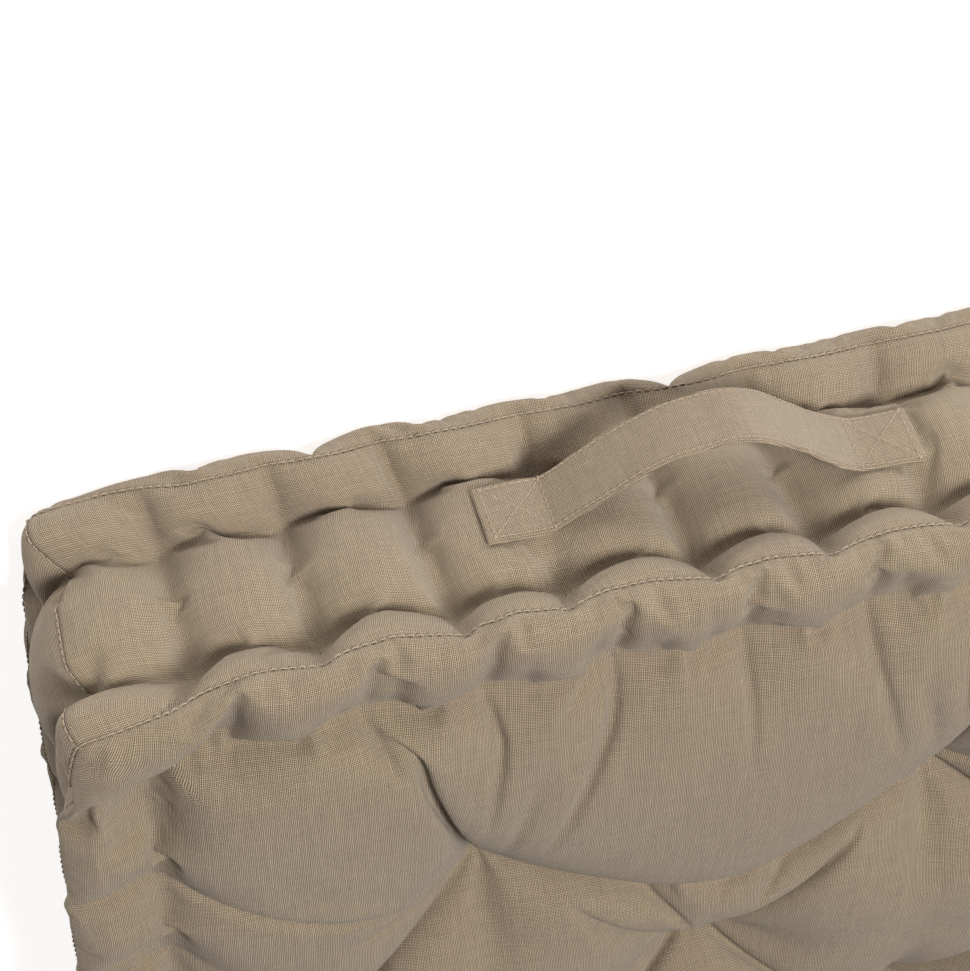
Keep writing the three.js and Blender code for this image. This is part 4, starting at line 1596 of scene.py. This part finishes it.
class Stuffing:
    """What the cover holds: the filling, the wadding of the rolls and the twine that ties them."""

    inset = 8.5
    neck_inset = 14.0
    neck_reach = 17.0
    corner_from = 75.0
    corner_inset = 14.0
    stages = 3
    roll_share = 0.78
    twine_radius = 0.8
    twine_share = 0.62

    def __init__(self, cover: Cover) -> None:
        """Keeps the coarse cover, whose form the stuffing takes.

        Args:
            cover: The settled cover.
        """
        self.sizes = cover.sizes
        self.cover = cover
        self.grid, self.skin = cover.thinned()
        self.face_row, self.wall_row = self.grid.face_neck, self.grid.wall_neck
        self.points = self._core_points()

    def _core_points(self) -> np.ndarray:
        """Draws the cover's points inwards, past the rolls' necks."""
        grid = self.grid
        points = self._smoothed(self.skin, self.stages)
        inset = np.full((grid.count, 1), self.inset)
        near = np.minimum(grid.arc, grid.arc[-1] - grid.arc)
        for row in (self.face_row, self.wall_row):
            neck = self.neck_inset * np.exp(-(((near - grid.arc[row]) / self.neck_reach) ** 2))
            inset[grid.ring, 0] += neck[:, None]
        for _ in range(self.stages):
            normals = grid.normals(points)
            points -= normals / np.linalg.norm(normals, axis=1, keepdims=True) * inset / self.stages
            points = self._smoothed(points, 1)
        corner = np.abs(grid.flat[:, :2]).min(1) - (self.sizes.half - self.corner_from)
        draw = np.clip(corner, 0, self.corner_inset)
        points[:, :2] -= np.sign(points[:, :2]) * draw[:, None]
        return points

    def _smoothed(self, points: np.ndarray, rounds: int) -> np.ndarray:
        """Evens out the sheet, each point towards its neighbours.

        Args:
            points: The sheet's points.
            rounds: How many times.

        Returns:
            The smoother points.
        """
        pairs = [(a, b) for a, b, kind in self.grid.families() if kind is Link.THREAD]
        first, second = (np.concatenate(ends) for ends in zip(*pairs))
        for _ in range(rounds):
            total, count = np.zeros_like(points), np.zeros((len(points), 1))
            for a, b in ((first, second), (second, first)):
                np.add.at(total, a, points[b])
                np.add.at(count, a, 1)
            points = points * 0.5 + total / np.maximum(count, 1) * 0.5
        return points

    def build(self, finishes: Finishes) -> None:
        """Builds the filling, the wadding and the twine.

        Args:
            finishes: The materials.
        """
        self._build_core(finishes)
        for word in ("top", "bottom"):
            self._build_roll(word, finishes)

    def _rings(self, rows: list[int], closed: bool) -> list[np.ndarray]:
        """Joins rows of the ring to each other by squares."""
        around = self.grid.ring
        pairs = list(zip(rows[:-1], rows[1:])) + ([(rows[-1], rows[0])] if closed else [])
        cells = []
        for a, b in pairs:
            p, q = around[a], around[b]
            cells.append(np.stack([p, q, np.roll(q, -1), np.roll(p, -1)], -1))
        return cells

    def _roll_points(self, rows: list[int]) -> np.ndarray:
        """Draws the cover of a roll in towards the roll's middle, clear of every pleat.

        Args:
            rows: The rows of the coarse ring that go round the roll.

        Returns:
            The wadding's points, one for each point of those rows.
        """
        cover, step = self.cover, self.cover.grid.n // self.grid.n
        skin = cover.points[cover.grid.ring[(rows[0] - 1) * step:(rows[-1] + 1) * step + 1]]
        spread = range(-2 * step, 2 * step + 1)
        middle = np.mean([np.roll(skin.mean(0), shift, 0) for shift in spread], 0)
        arm = skin - middle
        reach = np.linalg.norm(arm, axis=-1)
        clear = np.min([np.roll(reach.min(0), shift) for shift in spread], 0)
        points = middle + arm * (clear * self.roll_share / reach)[..., None]
        return points[step:-step:step, ::step]

    def _twine_line(self, lower: bool) -> np.ndarray:
        """Leads the twine of one roll from stitch to stitch, under the cover."""
        grid, points, line = self.cover.grid, self.cover.points, []
        step = grid.n // self.grid.n
        for side in Side:
            pairs = zip(*[self.cover.stitching.places(side, lower, on_face) for on_face in (True, False)])
            for pair in pairs:
                ends = []
                for row, along in zip((self.face_row * step, self.wall_row * step), pair):
                    here = grid.rows - 1 - row if lower else row
                    column = side.value * grid.n + grid.column_at(row, along)
                    ends.append(points[grid.ring[here, column % grid.around]])
                heart = np.mean(ends, 0)
                line += [heart + (end - heart) * self.twine_share for end in ends]
        return np.array(line)

    def _finish(self, name: str, cells: list[np.ndarray]) -> bpy.types.Object:
        """Makes an object of the squares."""
        faces = np.concatenate([c.reshape(-1, 4) for c in cells])
        used, local = np.unique(faces, return_inverse=True)
        return mesh_object(name, self.sizes.place(self.points[used]), local.reshape(faces.shape))

    def _build_core(self, finishes: Finishes) -> None:
        """Builds the filling inside the faces and the wall, without the rolls."""
        grid, last = self.grid, self.grid.rows - 1
        upper, lower = squares(grid.top), squares(grid.bottom, flipped=True)
        rows = list(range(self.face_row)) + list(range(self.wall_row + 1, last - self.wall_row))
        rows += list(range(last - self.face_row + 1, last + 1))
        piece = self._finish("core_fibre", [upper, lower, *self._rings(rows, False)])
        piece.data.materials.append(finishes.fibre)
        attach(piece, "cushion", "fibre_filling", "core_filling")

    def _build_roll(self, word: str, finishes: Finishes) -> None:
        """Builds the wadding of one roll and the twine through its neck."""
        last = self.grid.rows - 1
        rows = list(range(self.face_row + 1, self.wall_row))
        if word == "bottom":
            rows = [last - row for row in reversed(rows)]
        self.points[self.grid.ring[rows]] = self._roll_points(rows)
        piece = self._finish(f"{word}_roll_padding", self._rings(rows, True))
        piece.data.materials.append(finishes.wadding)
        attach(piece, "cushion", "cotton_wadding", f"{word}_roll_wadding")
        line = self.sizes.place(self._twine_line(word == "bottom"))
        twine = tube(f"{word}_roll_stitching", line, self.twine_radius * MM, closed=True)
        twine.data.materials.append(finishes.twine)
        attach(twine, "cushion", "jute_twine", f"{word}_roll_twine")


def tube(name: str, line: np.ndarray, radius: float, closed: bool, sides: int = 8) -> bpy.types.Object:
    """Makes a round tube along a line.

    Args:
        name: The object's name.
        line: The points of its middle, in metres.
        radius: Its radius in metres.
        closed: Whether the line is a loop.
        sides: How many sides it has.

    Returns:
        The tube.
    """
    count = len(line)
    if closed:
        tangent = np.roll(line, -1, 0) - np.roll(line, 1, 0)
    else:
        tangent = np.gradient(line, axis=0)
    tangent /= np.linalg.norm(tangent, axis=1, keepdims=True)
    hint = np.where(np.abs(tangent[:, 2:]) < 0.8, [[0.0, 0.0, 1.0]], [[0.0, 1.0, 0.0]])
    side = np.cross(tangent, hint)
    side /= np.linalg.norm(side, axis=1, keepdims=True)
    up = np.cross(side, tangent)
    turn = np.arange(sides) / sides * 2 * math.pi
    ring = side[:, None] * np.cos(turn)[None, :, None] + up[:, None] * np.sin(turn)[None, :, None]
    points = (line[:, None] + ring * radius).reshape(-1, 3)
    index = np.arange(count * sides).reshape(count, sides)
    rows = np.concatenate([index, index[:1]]) if closed else index
    after = np.roll(rows, -1, 1)
    faces = np.stack([rows[:-1], rows[1:], after[1:], after[:-1]], -1).reshape(-1, 4)
    made = mesh_object(name, points, faces[:, ::-1])
    return made


class TuftTies:
    """The cords that draw the two faces together."""

    radius = 1.1
    spread = 2.2

    def build(self, sizes: CushionSizes, finishes: Finishes) -> None:
        """Builds a loop of cord through the cushion at each tuft.

        Args:
            sizes: The cushion's sizes.
            finishes: The materials.
        """
        top, low = sizes.thick - sizes.tuft_depth, sizes.tuft_depth
        for x, y in sizes.tufts():
            turn = np.linspace(0, math.pi, 9)
            over = np.stack([-self.spread * np.cos(turn), 0 * turn, top + 0.6 + 1.2 * np.sin(turn)], -1)
            under = np.stack([self.spread * np.cos(turn), 0 * turn, low - 0.6 - 1.2 * np.sin(turn)], -1)
            heights = np.linspace(low, top, 24)[1:-1]
            rise = np.stack([0 * heights - self.spread, 0 * heights, heights], -1)
            fall = rise[::-1] * [-1, 1, 1]
            line = np.concatenate([rise, over, fall, under]) + [x, y, 0]
            node = nearest_node("tuft_tie", 7, sizes.place(line).mean(0))
            tie = tube(f"{node}_cord", sizes.place(line), self.radius * MM, closed=True)
            tie.data.materials.append(finishes.cord)
            attach(tie, "cushion", "tufting_cord", node)


class Handle:
    """The carry strap: a folded and topstitched band, boxed and crossed down at both ends."""

    half_width = 16.4
    line_points = 300
    gap = 0.3
    tilt_start = 1.3
    tilt_gain = 4.2
    ripple = 0.25
    path = ((101.0, 0.0), (96.0, 0.0), (84.0, 0.2), (71.5, 0.0), (66.5, 2.6), (58.0, 8.5), (46.0, 17.0),
            (30.0, 27.5), (14.0, 34.5), (-4.0, 37.5), (-16.0, 37.0), (-28.0, 32.0), (-42.0, 22.5),
            (-54.0, 12.5), (-64.0, 5.5), (-73.0, 1.4), (-82.0, 0.2), (-96.0, 0.0), (-103.0, 0.0))

    def __init__(self, plan: HandlePlan, sizes: CushionSizes) -> None:
        """Lays out the strap's middle line.

        Args:
            plan: Where the handle is sewn down.
            sizes: The cushion's sizes.
        """
        self.plan = plan
        self.sizes = sizes
        self.base = plan.plane - plan.thick / 2 - self.gap
        self.middle_z = (plan.low + plan.high) / 2
        knots = np.array(self.path)
        share = np.linspace(0, len(knots) - 1, 721)
        curve = np.stack([self._smooth(knots[:, axis], share) for axis in (0, 1)], -1)
        self.line, self.along = resampled(curve, self.line_points)
        slope = np.gradient(self.line, axis=0)
        slope /= np.linalg.norm(slope, axis=1, keepdims=True)
        self.normal = np.stack([slope[:, 1], -slope[:, 0]], -1)
        self.reach = self.line[:, 1].max()

    @staticmethod
    def _smooth(values: np.ndarray, share: np.ndarray) -> np.ndarray:
        """Runs a smooth curve through values."""
        padded = np.concatenate([values[:1], values, values[-1:]])
        index = np.clip(share.astype(int), 0, len(values) - 2)
        t = share - index
        a, b, c, d = (padded[index + k] for k in range(4))
        return 0.5 * (2 * b + (c - a) * t + (2 * a - 5 * b + 4 * c - d) * t ** 2
                      + (3 * b - a - 3 * c + d) * t ** 3)

    def _stitch_line(self) -> float:
        """Gives how far the topstitching is from the strap's middle."""
        return self.half_width - self.plan.margin

    def point(self, along: np.ndarray, across: np.ndarray, off: np.ndarray) -> np.ndarray:
        """Places points on the strap.

        Args:
            along: Distances along the strap.
            across: Distances from its middle, up positive.
            off: Distances from its middle surface, outwards positive.

        Returns:
            The points in cushion millimetres.
        """
        x, h, nx, nh = (np.interp(along, self.along, v) for v in (*self.line.T, *self.normal.T))
        rise = self.tilt_start + self.tilt_gain * along / self.along[-1]
        return np.stack([x + nx * off, self.base - (h + nh * off), self.middle_z + across + rise], -1)

    def build(self, finishes: Finishes) -> None:
        """Builds the strap and its stitching.

        Args:
            finishes: The materials.
        """
        strap = self._strap()
        strap.data.materials.append(finishes.canvas)
        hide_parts("handle_strap", "handle_end_left", "handle_end_right")
        self._bend(strap)
        for word, sign in (("upper", 1), ("lower", -1)):
            row = self._edge_row(word, sign, finishes)
            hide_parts(f"strap_topstitch_{word}")
            self._bend(row)
        for word, sign in (("left", -1), ("right", 1)):
            box = self._box_stitch(word, sign, finishes)
            attach(box, "cushion", "sewing_thread", f"handle_stitch_{word}")
        LOG.info("handle built, %.0f mm proud", self.reach)

    def _bend(self, piece: bpy.types.Object) -> None:
        """Bakes a piece's placement into its mesh."""
        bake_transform(piece)

    def _strap(self) -> bpy.types.Object:
        """Builds the band with rounded edges and a furrow under each row of stitches."""
        total = self.along[-1]
        ends = self.plan.thick / 2
        along = np.concatenate([[0.0, 0.3, 0.8], np.linspace(1.5, total - 1.5, 260), [total - 0.8,
                                total - 0.3, total]])
        across = np.linspace(-1, 1, 47)
        edge = np.sqrt(np.clip(1 - np.abs(across) ** 14, 0, 1))
        furrow = np.exp(-((((np.abs(across) * self.half_width) - self._stitch_line()) / 0.8) ** 2))
        close = np.clip(np.minimum(along, total - along) / 1.5, 0, 1)
        close = np.sqrt(1 - (1 - close) ** 2)
        half = ends * edge[None, :] * close[:, None] - 0.28 * furrow[None, :] * close[:, None]
        half = np.maximum(half, 0.02)
        wide = self.half_width + 0.35 * np.sin(along / 9.0) + 0.25 * np.sin(along / 3.7 + 1.0)
        s, w = np.meshgrid(along, across, indexing="ij")
        w = w * wide[:, None]
        wave = self.ripple * np.sin(s / 6.5 + w / 11.0)
        outer = self.point(s, w, wave + half)
        inner = self.point(s, w, wave - half)
        rows, columns = s.shape
        points = np.concatenate([outer.reshape(-1, 3), inner.reshape(-1, 3)])
        o = np.arange(rows * columns).reshape(rows, columns)
        i = o + rows * columns
        rim = np.concatenate([o[:, 0], o[-1, 1:], o[-2::-1, -1], o[0, -2:0:-1]])
        back = rim + rows * columns
        wall = np.stack([np.roll(rim, -1), rim, back, np.roll(back, -1)], -1)
        faces = np.concatenate([squares(o).reshape(-1, 4), squares(i).reshape(-1, 4)[:, ::-1], wall])
        uv = np.concatenate([np.stack([s, w], -1).reshape(-1, 2)] * 2)
        return mesh_object("handle_band", self.sizes.place(points), faces, uv * MM)

    def _edge_row(self, word: str, sign: int, finishes: Finishes) -> bpy.types.Object:
        """Sews the row along one edge, on both faces of the strap."""
        along = np.linspace(3.5, self.along[-1] - 3.5, 240)
        across = np.full_like(along, sign * self._stitch_line())
        lines = []
        for out in (1, -1):
            off = np.full_like(along, out * (self.plan.thick / 2 - 0.2)) + 0.25 * np.sin(along / 6.5
                                                                                        + across / 11.0)
            points = self.point(along, across, off)
            up = (self.point(along, across, off + out) - points)
            lines.append((self.sizes.place(points), up, False))
        path = path_object(f"handle_topstitching_{word}", lines)
        sizes = {"Pitch": 0.0036, "Length": 0.0026, "Radius": 0.00038, "Rise": 0.0004}
        return StitchRow.lay(path, finishes.thread, SEED, **sizes)

    def _box_stitch(self, word: str, sign: int, finishes: Finishes) -> bpy.types.Object:
        """Sews the box and cross through one end."""
        total = self.along[-1]
        outer, inner = 3.6, 31.5
        if sign > 0:
            a, b = outer, inner
        else:
            a, b = total - outer, total - inner
        w = self._stitch_line()
        corners = [((a, w), (b, -w)), ((a, -w), (b, w)), ((a, w), (a, -w)), ((b, w), (b, -w))]
        lines = []
        for (s0, w0), (s1, w1) in corners:
            share = np.linspace(0, 1, 24)
            s, v = s0 + (s1 - s0) * share, w0 + (w1 - w0) * share
            off = self.plan.thick / 2 + 0.02 + 0.25 * np.sin(s / 6.5 + v / 11.0)
            points = self.point(s, v, off)
            lines.append((self.sizes.place(points), self.point(s, v, off + 1) - points, False))
        path = path_object(f"handle_box_stitching_{word}", lines)
        sizes = {"Pitch": 0.0036, "Length": 0.0026, "Radius": 0.00038, "Rise": 0.0004}
        return StitchRow.lay(path, finishes.thread, SEED, **sizes)


@dataclass(frozen=True)
class Studio:
    """The camera, the pale floor and the soft light."""

    place: tuple = (0.3264, -1.3135, 0.8769)
    azimuth: float = -12.74
    elevation: float = 37.99
    roll: float = -160.43
    lens: float = 111.34
    floor_reach: float = 6.0
    floor_glow: float = 0.75
    sky: float = 0.25
    lamp_place: tuple = (-0.6, -1.8, 2.35)
    lamp_size: float = 0.8
    lamp_power: float = 127.0
    aim_height: float = 0.08

    def camera(self) -> None:
        """Sets up the camera."""
        data = bpy.data.cameras.new("camera")
        data.lens, data.sensor_width, data.clip_end = self.lens, 36.0, 50.0
        camera = bpy.data.objects.new("camera", data)
        bpy.context.scene.collection.objects.link(camera)
        a, e, r = (math.radians(v) for v in (self.azimuth, self.elevation, self.roll))
        ahead = Vector((math.sin(a) * math.cos(e), math.cos(a) * math.cos(e), -math.sin(e)))
        level = ahead.cross(Vector((0, 0, 1))).normalized()
        right = math.cos(r) * level - math.sin(r) * level.cross(ahead)
        turned = Matrix((right, right.cross(ahead), -ahead)).transposed().to_4x4()
        turned.translation = Vector(self.place)
        camera.matrix_world = turned
        bpy.context.scene.camera = camera

    def floor(self) -> None:
        """Lays a large pale floor."""
        corners = np.array([(-1, -1, 0), (1, -1, 0), (1, 1, 0), (-1, 1, 0)]) * self.floor_reach
        floor = mesh_object("floor", corners, np.array([[0, 1, 2, 3]]))
        material, _, shader = new_material("pale_floor", 0.8)
        shader.inputs["Base Color"].default_value = (0.93, 0.93, 0.93, 1)
        shader.inputs["Emission Color"].default_value = (1, 1, 1, 1)
        shader.inputs["Emission Strength"].default_value = self.floor_glow
        floor.data.materials.append(material)

    def light(self) -> None:
        """Adds a soft light that faces the cushion."""
        data = bpy.data.lights.new("softbox", "AREA")
        data.size, data.energy = self.lamp_size, self.lamp_power
        lamp = bpy.data.objects.new("softbox", data)
        bpy.context.scene.collection.objects.link(lamp)
        lamp.location = self.lamp_place
        aim = Vector((0, 0, self.aim_height)) - Vector(self.lamp_place)
        lamp.rotation_euler = aim.to_track_quat("-Z", "Y").to_euler()

    def build(self) -> None:
        """Sets up the camera, the floor, the world and the light."""
        self.camera()
        self.floor()
        scene = bpy.context.scene
        scene.view_settings.view_transform = "Standard"
        world = bpy.data.worlds.new("studio")
        world.use_nodes = True
        world.node_tree.nodes["Background"].inputs[0].default_value = (1, 1, 1, 1)
        world.node_tree.nodes["Background"].inputs[1].default_value = self.sky
        scene.world = world
        self.light()


def main() -> None:
    """Builds the cushion in order."""
    logging.basicConfig(level=logging.INFO, format="%(message)s")
    Studio().build()
    sizes = CushionSizes.from_frame()
    plan = HandlePlan.from_frame(sizes)
    LOG.info("%s %s", sizes, plan)
    finishes = Finishes()
    cover = Cover(sizes, plan, Filling())
    cover.build(finishes)
    Stuffing(cover).build(finishes)
    TuftTies().build(sizes, finishes)
    Handle(plan, sizes).build(finishes)


if __name__ == "__main__":
    main()
